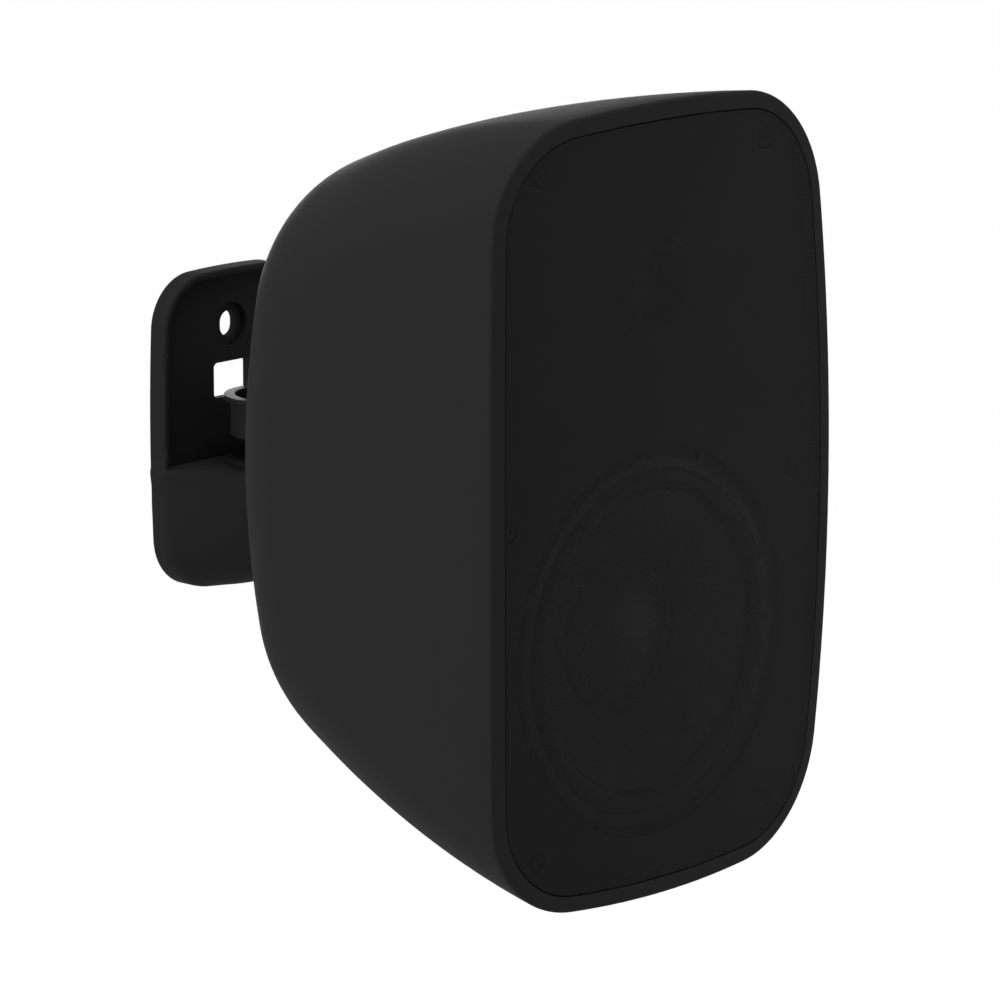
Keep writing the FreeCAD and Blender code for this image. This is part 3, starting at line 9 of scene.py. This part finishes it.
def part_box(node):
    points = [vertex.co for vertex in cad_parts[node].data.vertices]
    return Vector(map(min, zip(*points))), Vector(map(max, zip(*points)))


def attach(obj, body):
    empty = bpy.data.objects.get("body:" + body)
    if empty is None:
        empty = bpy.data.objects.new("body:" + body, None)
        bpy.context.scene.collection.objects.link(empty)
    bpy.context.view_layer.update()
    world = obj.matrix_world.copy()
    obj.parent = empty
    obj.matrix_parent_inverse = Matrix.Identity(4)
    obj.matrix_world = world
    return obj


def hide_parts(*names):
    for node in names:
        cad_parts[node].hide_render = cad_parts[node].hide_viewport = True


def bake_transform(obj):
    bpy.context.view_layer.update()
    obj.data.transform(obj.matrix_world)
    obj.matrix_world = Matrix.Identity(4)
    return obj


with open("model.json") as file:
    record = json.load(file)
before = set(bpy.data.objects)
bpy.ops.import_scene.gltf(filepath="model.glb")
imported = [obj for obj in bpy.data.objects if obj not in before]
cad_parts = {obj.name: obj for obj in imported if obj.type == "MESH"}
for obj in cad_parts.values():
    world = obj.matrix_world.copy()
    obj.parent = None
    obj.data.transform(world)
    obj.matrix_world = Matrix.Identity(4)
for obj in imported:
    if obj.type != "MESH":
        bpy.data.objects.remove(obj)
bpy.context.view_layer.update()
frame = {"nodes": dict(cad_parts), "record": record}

nodes = frame["nodes"]


# Wall plate: the half of the bracket that is screwed to the wall, moulded in black glass-filled nylon.
# Its back is ribbed, and the loudspeaker cable comes through the square hole.
# One screw through the slot and one down the well in its nose hold it.
def shade(tree, kind, sockets=None, **settings):
    made = tree.nodes.new(kind)
    for key, value in settings.items():
        setattr(made, key, value)
    for key, value in (sockets or {}).items():
        if isinstance(value, bpy.types.NodeSocket):
            tree.links.new(value, made.inputs[key])
        else:
            made.inputs[key].default_value = value
    return made


def effect(name, inputs, outputs):
    tree = bpy.data.node_groups.new(name, "ShaderNodeTree")
    for label, kind, value in inputs:
        socket = tree.interface.new_socket(label, in_out="INPUT", socket_type=kind)
        socket.default_value = value
    for label, kind in outputs:
        tree.interface.new_socket(label, in_out="OUTPUT", socket_type=kind)
    return tree, tree.nodes.new("NodeGroupInput").outputs, tree.nodes.new("NodeGroupOutput").inputs


def moulded_skin_effect():
    tree, given, put = effect("moulded_skin", [
        ("Colour", "NodeSocketColor", (0.02, 0.02, 0.02, 1.0)),
        ("Pale", "NodeSocketFloat", 0.15),
        ("Roughness", "NodeSocketFloat", 0.45),
        ("Grain", "NodeSocketFloat", 1600.0),
    ], [("Colour", "NodeSocketColor"), ("Roughness", "NodeSocketFloat"), ("Height", "NodeSocketFloat")])
    place = shade(tree, "ShaderNodeTexCoord").outputs["Object"]
    cloud_scale = 22.0
    sheen_drift = 0.05
    fine = shade(tree, "ShaderNodeTexNoise", {
        "Vector": place, "Scale": given["Grain"], "Detail": 3.0, "Roughness": 0.6})
    cloud = shade(tree, "ShaderNodeTexNoise", {"Vector": place, "Scale": cloud_scale, "Detail": 4.0})
    lifted = shade(tree, "ShaderNodeMath", {0: fine.outputs["Fac"], 1: given["Pale"]}, operation="MULTIPLY")
    drift = shade(tree, "ShaderNodeMath", {
        0: cloud.outputs["Fac"], 1: given["Pale"], 2: lifted.outputs[0]}, operation="MULTIPLY_ADD")
    level = shade(tree, "ShaderNodeMath", {0: drift.outputs[0], 1: 1.0}, operation="ADD")
    tint = shade(tree, "ShaderNodeVectorMath", {
        0: given["Colour"], "Scale": level.outputs[0]}, operation="SCALE")
    rough = shade(tree, "ShaderNodeMapRange", {
        "Value": cloud.outputs["Fac"], "From Min": 0.25, "From Max": 0.75,
        "To Min": -sheen_drift, "To Max": sheen_drift})
    dull = shade(tree, "ShaderNodeMath", {0: rough.outputs[0], 1: given["Roughness"]}, operation="ADD")
    tree.links.new(tint.outputs[0], put["Colour"])
    tree.links.new(dull.outputs[0], put["Roughness"])
    tree.links.new(fine.outputs["Fac"], put["Height"])
    return tree


moulded_skin = moulded_skin_effect()


def blank_finish(name):
    material = bpy.data.materials.new(name)
    material.use_nodes = True
    tree = material.node_tree
    return material, tree, tree.nodes["Principled BSDF"]


def moulded_finish(name, colour, roughness, grain=1600.0, depth=0.00003, specular=0.02, pale=0.15):
    material, tree, surface = blank_finish(name)
    skin = shade(tree, "ShaderNodeGroup", node_tree=moulded_skin)
    skin.inputs["Colour"].default_value = (*colour, 1.0)
    skin.inputs["Pale"].default_value = pale
    skin.inputs["Roughness"].default_value = roughness
    skin.inputs["Grain"].default_value = grain
    bump = shade(tree, "ShaderNodeBump", {
        "Height": skin.outputs["Height"], "Distance": depth, "Strength": 1.0})
    tree.links.new(skin.outputs["Colour"], surface.inputs["Base Color"])
    tree.links.new(skin.outputs["Roughness"], surface.inputs["Roughness"])
    tree.links.new(bump.outputs["Normal"], surface.inputs["Normal"])
    surface.inputs["Specular IOR Level"].default_value = specular
    return material


body_of_node = {}
for body_name, node_names in frame["record"]["behaviour"]["bodies"].items():
    for node_name in node_names:
        body_of_node[node_name] = body_name


def new_piece(name, form, materials, stands_for, rides=True):
    mesh = bpy.data.meshes.new(name)
    form.to_mesh(mesh)
    form.free()
    for material in materials:
        mesh.materials.append(material)
    piece = bpy.data.objects.new(name, mesh)
    bpy.context.scene.collection.objects.link(piece)
    if rides:
        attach(piece, body_of_node[stands_for])
    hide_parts(stands_for)
    return piece


def soften(form, crease):
    for face in form.faces:
        face.smooth = True
    for edge in form.edges:
        edge.smooth = edge.calc_face_angle(math.pi) < math.radians(crease)


def merged(node_name):
    weld = 0.000002
    form = bmesh.new()
    form.from_mesh(nodes[node_name].data)
    bmesh.ops.remove_doubles(form, verts=form.verts, dist=weld)
    for face in form.faces:
        face.material_index = 0
    return form


def dressed(node_name, material, edge=0.0):
    crease = 30.0
    flat_angle = 0.5
    edge_angle = 40.0
    form = merged(node_name)
    if edge:
        bmesh.ops.dissolve_limit(form, angle_limit=math.radians(flat_angle),
                                 verts=form.verts, edges=form.edges)
    soften(form, crease)
    piece = new_piece(node_name + "_look", form, [material], node_name)
    if edge:
        broken = piece.modifiers.new("broken_edges", "BEVEL")
        broken.width = edge
        broken.segments = 2
        broken.limit_method = "ANGLE"
        broken.angle_limit = math.radians(edge_angle)
        broken.harden_normals = True
    return piece


bracket_nylon = moulded_finish("bracket_nylon", (0.012, 0.012, 0.0122), 0.65, grain=1100.0)
dressed("wall_plate", bracket_nylon)


# Friction disc and bushing: turned black acetal, between the plate's shelf and the arm's drum.
# The arm is a die casting, powder coated black, and turns on them about the pivot bolt.
acetal = moulded_finish("acetal", (0.008, 0.008, 0.0085), 0.34, grain=2200.0, depth=0.00001)
for wearing in ("friction_disc", "pivot_bushing"):
    dressed(wearing, acetal, edge=0.0004)
cast_coat = moulded_finish("cast_coat", (0.0105, 0.0105, 0.0107), 0.38, grain=900.0, depth=0.00005)
dressed("swivel_arm", cast_coat, edge=0.0005)


# Pivot bolt, washer and nut, and the tilt bolt with its own: carbon steel, blackened and lightly oiled.
# The threads are hidden; the heads and nuts are cold formed, with broken edges.
def plated_finish(name, colour, roughness):
    grain = 900.0
    spread = 0.2
    sheen_drift = 0.06
    pit_depth = 0.00001
    noise_low, noise_high = 0.3, 0.7
    from_low, from_high, to_low, to_high = 7, 8, 9, 10
    material, tree, surface = blank_finish(name)
    place = shade(tree, "ShaderNodeTexCoord").outputs["Object"]
    marks = shade(tree, "ShaderNodeTexNoise", {"Vector": place, "Scale": grain, "Detail": 4.0})
    tint = shade(tree, "ShaderNodeMapRange", {
        "Vector": marks.outputs["Color"],
        from_low: (noise_low, noise_low, noise_low),
        from_high: (noise_high, noise_high, noise_high),
        to_low: tuple(channel * (1 - spread) for channel in colour),
        to_high: tuple(channel * (1 + spread) for channel in colour),
    }, data_type="FLOAT_VECTOR")
    dull = shade(tree, "ShaderNodeMapRange", {
        "Value": marks.outputs["Fac"], "From Min": noise_low, "From Max": noise_high,
        "To Min": roughness - sheen_drift, "To Max": roughness + sheen_drift})
    bump = shade(tree, "ShaderNodeBump", {"Height": marks.outputs["Fac"], "Distance": pit_depth})
    tree.links.new(tint.outputs["Vector"], surface.inputs["Base Color"])
    tree.links.new(dull.outputs["Result"], surface.inputs["Roughness"])
    tree.links.new(bump.outputs["Normal"], surface.inputs["Normal"])
    surface.inputs["Metallic"].default_value = 1.0
    return material


black_oxide = plated_finish("black_oxide", (0.024, 0.024, 0.025), 0.38)
for fixing in ("pivot_bolt", "pivot_washer", "pivot_nut", "tilt_bolt", "tilt_washers", "tilt_nut"):
    dressed(fixing, black_oxide, edge=0.0003)


# Cabinet: one deep injection moulding in black polystyrene with a fine spark-eroded texture.
# Its walls draw in towards a closed, rounded back, and its front rim frames the grille.
cabinet_skin = moulded_finish("cabinet_skin", (0.0138, 0.0138, 0.014), 0.68, grain=1500.0)
dressed("cabinet_shell", cabinet_skin)


# Rear cup: the socket for the bracket, moulded in the same plastic and bonded into the cabinet's back.
# The clevis in it is a folded steel plate with two ears, powder coated.
dressed("rear_cup", cabinet_skin)
coated_steel = moulded_finish("coated_steel", (0.012, 0.012, 0.0125), 0.4, grain=1300.0, depth=0.00004)
dressed("rear_clevis", coated_steel, edge=0.0005)


# Screws: pan heads with a cross recess, cold formed in steel and blackened, driven into moulded bosses.
# One form serves all of them, scaled to the head, and is set where each screw sits.
def grown(form, edges, scale, lift):
    made = bmesh.ops.extrude_edge_only(form, edges=edges)["geom"]
    verts = [item for item in made if isinstance(item, bmesh.types.BMVert)]
    bmesh.ops.scale(form, verts=verts, vec=(scale, scale, 1.0))
    bmesh.ops.translate(form, verts=verts, vec=(0.0, 0.0, lift))
    return [item for item in made if isinstance(item, bmesh.types.BMEdge)
            and item.verts[0] in verts and item.verts[1] in verts]


def pan_head_screw(head, height, shank, length):
    side_share, shoulder_share, crown_share = 0.4, 0.38, 0.22
    shoulder_draw, crown_draw = 0.86, 0.76
    recess_draw, recess_depth = 0.7, 0.55 * height
    stem_share, tip_share, tip_draw = 0.85, 0.15, 0.3
    form = bmesh.new()
    bmesh.ops.create_circle(form, segments=24, radius=head)
    foot = list(form.edges)
    side = grown(form, foot, 1.0, side_share * height)
    shoulder = grown(form, side, shoulder_draw, shoulder_share * height)
    crown = grown(form, shoulder, crown_draw, crown_share * height)
    reach, width = 0.5 * head, 0.13 * head
    corners = [
        (reach, width), (width, width), (width, reach),
        (-width, reach), (-width, width), (-reach, width),
        (-reach, -width), (-width, -width), (-width, -reach),
        (width, -reach), (width, -width), (reach, -width),
    ]
    cross = form.faces.new([form.verts.new((x, y, height)) for x, y in corners])
    bmesh.ops.bridge_loops(form, edges=crown + list(cross.edges))
    sunk = bmesh.ops.extrude_discrete_faces(form, faces=[cross])["faces"][0]
    bmesh.ops.scale(form, verts=sunk.verts, vec=(recess_draw, recess_draw, 1.0))
    bmesh.ops.translate(form, verts=sunk.verts, vec=(0.0, 0.0, -recess_depth))
    neck = grown(form, foot, shank / head, 0.0)
    stem = grown(form, neck, 1.0, -stem_share * length)
    tip = grown(form, stem, tip_draw, -tip_share * length)
    bmesh.ops.contextual_create(form, geom=tip)
    bmesh.ops.recalc_face_normals(form, faces=form.faces)
    return form


to_wall, to_room = 1, -1


def screw_boxes(node_name):
    loose = merged(node_name)
    boxes = []
    left = dict.fromkeys(loose.verts)
    while left:
        island = [left.popitem()[0]]
        waiting = list(island)
        while waiting:
            vert = waiting.pop()
            for link in vert.link_edges:
                other = link.other_vert(vert)
                if other in left:
                    del left[other]
                    island.append(other)
                    waiting.append(other)
        low = Vector([min(vert.co[axis] for vert in island) for axis in range(3)])
        high = Vector([max(vert.co[axis] for vert in island) for axis in range(3)])
        boxes.append((low, high))
    loose.free()
    return boxes


def screw_set(node_name, head, height, shank, length, facing, finish):
    crease = 35.0
    one = pan_head_screw(head, height, shank, length)
    soften(one, crease)
    pattern = bpy.data.meshes.new(node_name + "_pattern")
    one.to_mesh(pattern)
    one.free()
    turn = Matrix.Rotation(-facing * math.pi / 2, 4, "X")
    form = bmesh.new()
    for low, high in screw_boxes(node_name):
        seat = high.y - height if facing == to_wall else low.y + height
        spot = Vector(((low.x + high.x) / 2, seat, (low.z + high.z) / 2))
        before = len(form.verts)
        form.from_mesh(pattern)
        form.verts.ensure_lookup_table()
        bmesh.ops.transform(form, matrix=Matrix.Translation(spot) @ turn, verts=form.verts[before:])
    bpy.data.meshes.remove(pattern)
    return new_piece(node_name + "_look", form, [finish], node_name)


screw_black = plated_finish("screw_black", (0.007, 0.007, 0.0073), 0.45)
screw_set("clevis_screws", head=0.0036, height=0.003, shank=0.0025, length=0.014,
          facing=to_wall, finish=black_oxide)
screw_set("baffle_screws", head=0.004, height=0.003, shank=0.002, length=0.02,
          facing=to_room, finish=screw_black)
screw_set("woofer_screws", head=0.002, height=0.0014, shank=0.0016, length=0.013,
          facing=to_room, finish=screw_black)
screw_set("tweeter_screws", head=0.0028, height=0.0018, shank=0.0016, length=0.009,
          facing=to_wall, finish=black_oxide)
screw_set("board_screws", head=0.0028, height=0.0018, shank=0.0015, length=0.009,
          facing=to_room, finish=black_oxide)
screw_set("terminal_screws", head=0.0028, height=0.0018, shank=0.0015, length=0.009,
          facing=to_wall, finish=black_oxide)


# Baffle: a black moulded panel that closes the cabinet's front on a rubber gasket.
# It carries both drivers, and the collar round the tweeter is part of it.
baffle_skin = moulded_finish("baffle_skin", (0.013, 0.013, 0.0132), 0.5, grain=1500.0)
dressed("front_baffle", baffle_skin)
rubber = moulded_finish("rubber", (0.006, 0.006, 0.0062), 0.28, grain=700.0, depth=0.00001,
                        specular=0.07)
dressed("baffle_gasket", rubber)


# Woofer, in front: a pressed steel basket, a talc-filled plastic cone with its cap, and a rubber surround.
# The surround's half roll is glued to the basket outside and to the cone inside.
# It is spun from its profile as one still piece, which rides with neither of them.
basket_coat = moulded_finish("basket_coat", (0.005, 0.005, 0.0051), 0.5, grain=1300.0)
dressed("woofer_basket", basket_coat)
dressed("woofer_gasket", rubber)


def turned_form(outline, axis_z):
    turn_steps = 128
    weld = 0.000001
    crease = 35.0
    form = bmesh.new()
    verts = [form.verts.new((radius, y, axis_z)) for radius, y in outline]
    edges = [form.edges.new(pair) for pair in zip(verts, verts[1:] + verts[:1])]
    bmesh.ops.spin(form, geom=verts + edges, cent=(0.0, 0.0, axis_z), axis=(0.0, 1.0, 0.0),
                   angle=2 * math.pi, steps=turn_steps, use_merge=True)
    bmesh.ops.remove_doubles(form, verts=form.verts, dist=weld)
    bmesh.ops.recalc_face_normals(form, faces=form.faces)
    soften(form, crease)
    return form


def bowed(start, end, radius):
    roll_steps = 14
    chord_middle = (Vector(start) + Vector(end)) / 2
    chord = Vector(end) - Vector(start)
    across = Vector((-chord.y, chord.x)).normalized()
    back = across if across.y > 0 else -across
    centre = chord_middle + back * math.sqrt(radius ** 2 - chord.length_squared / 4)
    spoke = Vector(start) - centre
    sweep = math.copysign(2 * math.asin(chord.length / 2 / radius), spoke.cross(Vector(end) - centre))
    turns = [Matrix.Rotation(sweep * step / roll_steps, 2) for step in range(roll_steps + 1)]
    return [tuple(centre + turn @ spoke) for turn in turns]


surround_low, surround_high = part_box("woofer_surround")
woofer_z = (surround_low[2] + surround_high[2]) / 2
land_radius = (surround_high[0] - surround_low[0]) / 2
rubber_gauge = 0.0006
land_rise = 0.0027
edge_back = surround_high[1]
land_front = edge_back - land_rise
edge_radius = 0.0598
roll_outer, roll_inner, roll_radius = 0.07, 0.061, 0.0049
half_gauge = rubber_gauge / 2
surround_outline = [(land_radius, land_front), (land_radius, land_front + rubber_gauge)]
surround_outline += bowed((roll_outer, land_front + rubber_gauge), (roll_inner, edge_back), roll_radius)
surround_outline += [(edge_radius, edge_back), (edge_radius, edge_back - rubber_gauge)]
surround_outline += bowed((roll_inner - half_gauge, edge_back - rubber_gauge),
                          (roll_outer + half_gauge, land_front), roll_radius + half_gauge)
surround = new_piece("woofer_surround_look", turned_form(surround_outline, woofer_z), [rubber],
                     "woofer_surround", rides=False)
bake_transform(surround)

cone_skin = moulded_finish("cone_skin", (0.01, 0.01, 0.0102), 0.4, grain=900.0, specular=0.15)
cone_low, cone_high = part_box("woofer_cone")
cone_radius = (cone_high[0] - cone_low[0]) / 2
cone_neck = 0.01925
cone_sheet = 0.001
cone_outline = [(cone_radius, cone_low[1]), (cone_radius, cone_low[1] + cone_sheet),
                (cone_neck, cone_high[1]), (cone_neck, cone_high[1] - cone_sheet)]
new_piece("woofer_cone_look", turned_form(cone_outline, woofer_z), [cone_skin], "woofer_cone")
cap_skin = moulded_finish("cap_skin", (0.012, 0.012, 0.0122), 0.32, grain=1800.0, depth=0.00001,
                          specular=0.16)
dressed("dust_cap", cap_skin)


# Woofer's motor: a ferrite ring, glued between zinc-plated iron plates on the basket's back.
# It drives a copper coil, wound on an aluminium former that a doped cloth spider keeps centred.
zinc = plated_finish("zinc", (0.5, 0.5, 0.47), 0.35)
for iron in ("woofer_top_plate", "woofer_yoke", "tweeter_yoke"):
    dressed(iron, zinc)
ferrite = moulded_finish("ferrite", (0.03, 0.03, 0.031), 0.5, grain=400.0, depth=0.00006)
for magnet in ("woofer_magnet", "tweeter_magnet"):
    dressed(magnet, ferrite)
foil = plated_finish("foil", (0.7, 0.7, 0.7), 0.3)
dressed("voice_coil_former", foil)
copper = plated_finish("copper", (0.55, 0.22, 0.1), 0.3)
for winding in ("voice_coil_winding", "inductors"):
    dressed(winding, copper)
cloth = moulded_finish("cloth", (0.05, 0.04, 0.03), 0.8, grain=1600.0, depth=0.0002)
dressed("spider", cloth)


# Tweeter: a doped silk dome, pressed to shape and clamped in a moulded plate.
# The plate is screwed to the baffle from behind, with its own small magnet on its back.
silk = moulded_finish("silk", (0.01, 0.01, 0.01), 0.5, grain=2600.0, depth=0.0001, specular=0.12)
dressed("tweeter_dome", silk)
dressed("tweeter_plate", baffle_skin)


# Crossover: a lacquered board with its capacitors and a cement resistor soldered on.
# It is screwed inside the cabinet, behind the drivers; its coils are wound in the copper above.
laminate = moulded_finish("laminate", (0.02, 0.1, 0.03), 0.3)
dressed("crossover_board", laminate)
sleeve = moulded_finish("sleeve", (0.02, 0.025, 0.08), 0.35)
dressed("capacitors", sleeve)
cement = moulded_finish("cement", (0.55, 0.52, 0.45), 0.8, grain=500.0, depth=0.0001)
dressed("resistor", cement)


# Terminals: a black moulded plate with a screw block for two poles.
# The plate is screwed into the cup at the cabinet's back, where a hand still reaches it.
terminal_skin = moulded_finish("terminal_skin", (0.009, 0.009, 0.0095), 0.4)
for insulated in ("terminal_plate", "terminal_block"):
    dressed(insulated, terminal_skin, edge=0.0005)


# Grille: thin steel sheet, punched all over with fine holes, domed and powder coated black.
# It is pressed into the cabinet's rim by its plain turned edge, and both drivers show faintly through it.
def punched_sheet_effect():
    tree, given, put = effect("punched_sheet", [
        ("Pitch", "NodeSocketFloat", 0.00105),
        ("Radius", "NodeSocketFloat", 0.0004),
        ("Soft", "NodeSocketFloat", 0.00003),
    ], [("Metal", "NodeSocketFloat")])
    place = shade(tree, "ShaderNodeTexCoord").outputs["Object"]
    tall = shade(tree, "ShaderNodeMath", {0: given["Pitch"], 1: math.sqrt(3.0)}, operation="MULTIPLY")
    cell = shade(tree, "ShaderNodeCombineXYZ", {"X": given["Pitch"], "Y": 1000.0, "Z": tall.outputs[0]})
    flat = shade(tree, "ShaderNodeVectorMath", {0: place, 1: (1.0, 0.0, 1.0)}, operation="MULTIPLY")
    steps = shade(tree, "ShaderNodeVectorMath", {0: flat.outputs[0], 1: cell.outputs[0]}, operation="DIVIDE")
    half = (0.5, 0.5, 0.5)
    reach = []
    for offset in (0.0, 0.5):
        moved = shade(tree, "ShaderNodeVectorMath", {
            0: steps.outputs[0], 1: (offset, 0.5, offset)}, operation="ADD")
        part = shade(tree, "ShaderNodeVectorMath", {0: moved.outputs[0]}, operation="FRACTION")
        centred = shade(tree, "ShaderNodeVectorMath", {0: part.outputs[0], 1: half}, operation="SUBTRACT")
        real = shade(tree, "ShaderNodeVectorMath", {
            0: centred.outputs[0], 1: cell.outputs[0]}, operation="MULTIPLY")
        away = shade(tree, "ShaderNodeVectorMath", {0: real.outputs[0]}, operation="LENGTH")
        reach.append(away.outputs["Value"])
    near = shade(tree, "ShaderNodeMath", {0: reach[0], 1: reach[1]}, operation="MINIMUM")
    low = shade(tree, "ShaderNodeMath", {0: given["Radius"], 1: given["Soft"]}, operation="SUBTRACT")
    high = shade(tree, "ShaderNodeMath", {0: given["Radius"], 1: given["Soft"]}, operation="ADD")
    sheet = shade(tree, "ShaderNodeMapRange", {
        "Value": near.outputs[0], "From Min": low.outputs[0], "From Max": high.outputs[0]})
    tree.links.new(sheet.outputs[0], put["Metal"])
    return tree


punched_sheet = punched_sheet_effect()
grille_edge = moulded_finish("grille_edge", (0.016, 0.016, 0.0162), 0.5, grain=1500.0, depth=0.00002)
grille_coat = moulded_finish("grille_coat", (0.016, 0.016, 0.0162), 0.5, grain=1500.0, depth=0.00002)
grille_tree = grille_coat.node_tree
punch = shade(grille_tree, "ShaderNodeGroup", node_tree=punched_sheet)
grille_tree.links.new(punch.outputs["Metal"], grille_tree.nodes["Principled BSDF"].inputs["Alpha"])
turned_edge = 0.2
punched_face = -0.5
grille_crease = 40.0
sheet_thickness = 0.0003
grille_form = merged("grille")
inner = []
for face in grille_form.faces:
    spot = face.calc_center_median()
    points_back = face.normal.y > turned_edge
    points_in = face.normal.y > -turned_edge and face.normal.dot(spot) < face.normal.y * spot.y
    if points_back or points_in:
        inner.append(face)
bmesh.ops.delete(grille_form, geom=inner, context="FACES")
soften(grille_form, grille_crease)
for face in grille_form.faces:
    face.material_index = 0 if face.normal.y < punched_face else 1
grille = new_piece("grille_look", grille_form, [grille_coat, grille_edge], "grille")
gauge = grille.modifiers.new("sheet_gauge", "SOLIDIFY")
gauge.thickness = sheet_thickness
gauge.offset = -1.0


# Studio floor: a pale, matt floor well below the part, shown almost white to the camera.
# A small share of it is plain paint, which takes the part's shadow.
floor_z = -0.6
floor_size = 12.0
shown_white = 0.985
floor_mesh = bpy.data.meshes.new("floor")
floor_form = bmesh.new()
bmesh.ops.create_grid(floor_form, x_segments=1, y_segments=1, size=floor_size,
                      matrix=Matrix.Translation((0, 0, floor_z)))
floor_form.to_mesh(floor_mesh)
floor_form.free()
floor = bpy.data.objects.new("floor", floor_mesh)
bpy.context.scene.collection.objects.link(floor)
floor_paint, floor_tree, floor_surface = blank_finish("floor_paint")
floor_surface.inputs["Base Color"].default_value = (0.85, 0.85, 0.85, 1.0)
floor_surface.inputs["Roughness"].default_value = 0.9


def shown_ray(tree, share):
    rays = shade(tree, "ShaderNodeLightPath").outputs
    seen = shade(tree, "ShaderNodeMath", {
        0: rays["Is Camera Ray"], 1: rays["Is Transmission Ray"]}, operation="MAXIMUM")
    seen = shade(tree, "ShaderNodeMath", {0: seen.outputs[0], 1: rays["Is Glossy Ray"]}, operation="MAXIMUM")
    return shade(tree, "ShaderNodeMath", {0: seen.outputs[0], 1: share}, operation="MULTIPLY").outputs[0]


glow = shade(floor_tree, "ShaderNodeEmission", {"Color": (1.0, 1.0, 1.0, 1.0), "Strength": 1.0})
blend = shade(floor_tree, "ShaderNodeMixShader", {
    0: shown_ray(floor_tree, shown_white), 1: floor_surface.outputs[0], 2: glow.outputs[0]})
floor_tree.links.new(blend.outputs[0], floor_tree.nodes["Material Output"].inputs["Surface"])
floor_mesh.materials.append(floor_paint)


# Studio light: a white surround that lights the part at a lower level than it is shown at.
# Five soft round lamps stand about it, the strongest at the side that the camera sees and behind.
air_level = 0.4
world = bpy.data.worlds.new("studio")
bpy.context.scene.world = world
world.use_nodes = True
air = world.node_tree
level = shade(air, "ShaderNodeMapRange", {"Value": shown_ray(air, 1.0), "To Min": air_level, "To Max": 1.0})
air.links.new(level.outputs[0], air.nodes["Background"].inputs["Strength"])
air.nodes["Background"].inputs["Color"].default_value = (1.0, 1.0, 1.0, 1.0)


def lamp(name, spot, size, watts):
    speaker_middle = Vector((0.0, -0.15, 0.0))
    light = bpy.data.lights.new(name, "AREA")
    light.shape = "DISK"
    light.size = size
    light.energy = watts
    stand = bpy.data.objects.new(name, light)
    stand.location = spot
    stand.rotation_euler = (speaker_middle - Vector(spot)).to_track_quat("-Z", "Y").to_euler()
    bpy.context.scene.collection.objects.link(stand)


lamp("top_lamp", spot=(-0.3, -0.4, 1.8), size=1.4, watts=26.0)
lamp("side_lamp", spot=(-2.15, 0.4, 0.2), size=1.4, watts=30.0)
lamp("front_lamp", spot=(-0.6, -2.0, 0.75), size=0.4, watts=1.0)
lamp("right_lamp", spot=(1.6, -1.6, -0.45), size=1.2, watts=13.5)
lamp("back_lamp", spot=(1.5, 1.7, -0.25), size=1.2, watts=38.0)


# Camera: a long lens to the left of the part and a little above it, as in the photograph.
# Its place and aim were fitted to the outline of the cabinet and the wall plate.
view_line = Vector((0.71348, 0.66792, -0.2118))
lens = bpy.data.cameras.new("camera")
lens.lens = 227.9
lens.sensor_width = 36.0
lens.clip_end = 50.0
camera = bpy.data.objects.new("camera", lens)
camera.location = (-1.8316, -1.8748, 0.5312)
camera.rotation_euler = view_line.to_track_quat("-Z", "Y").to_euler()
bpy.context.scene.collection.objects.link(camera)
bpy.context.scene.camera = camera
bpy.context.scene.view_settings.view_transform = "Standard"
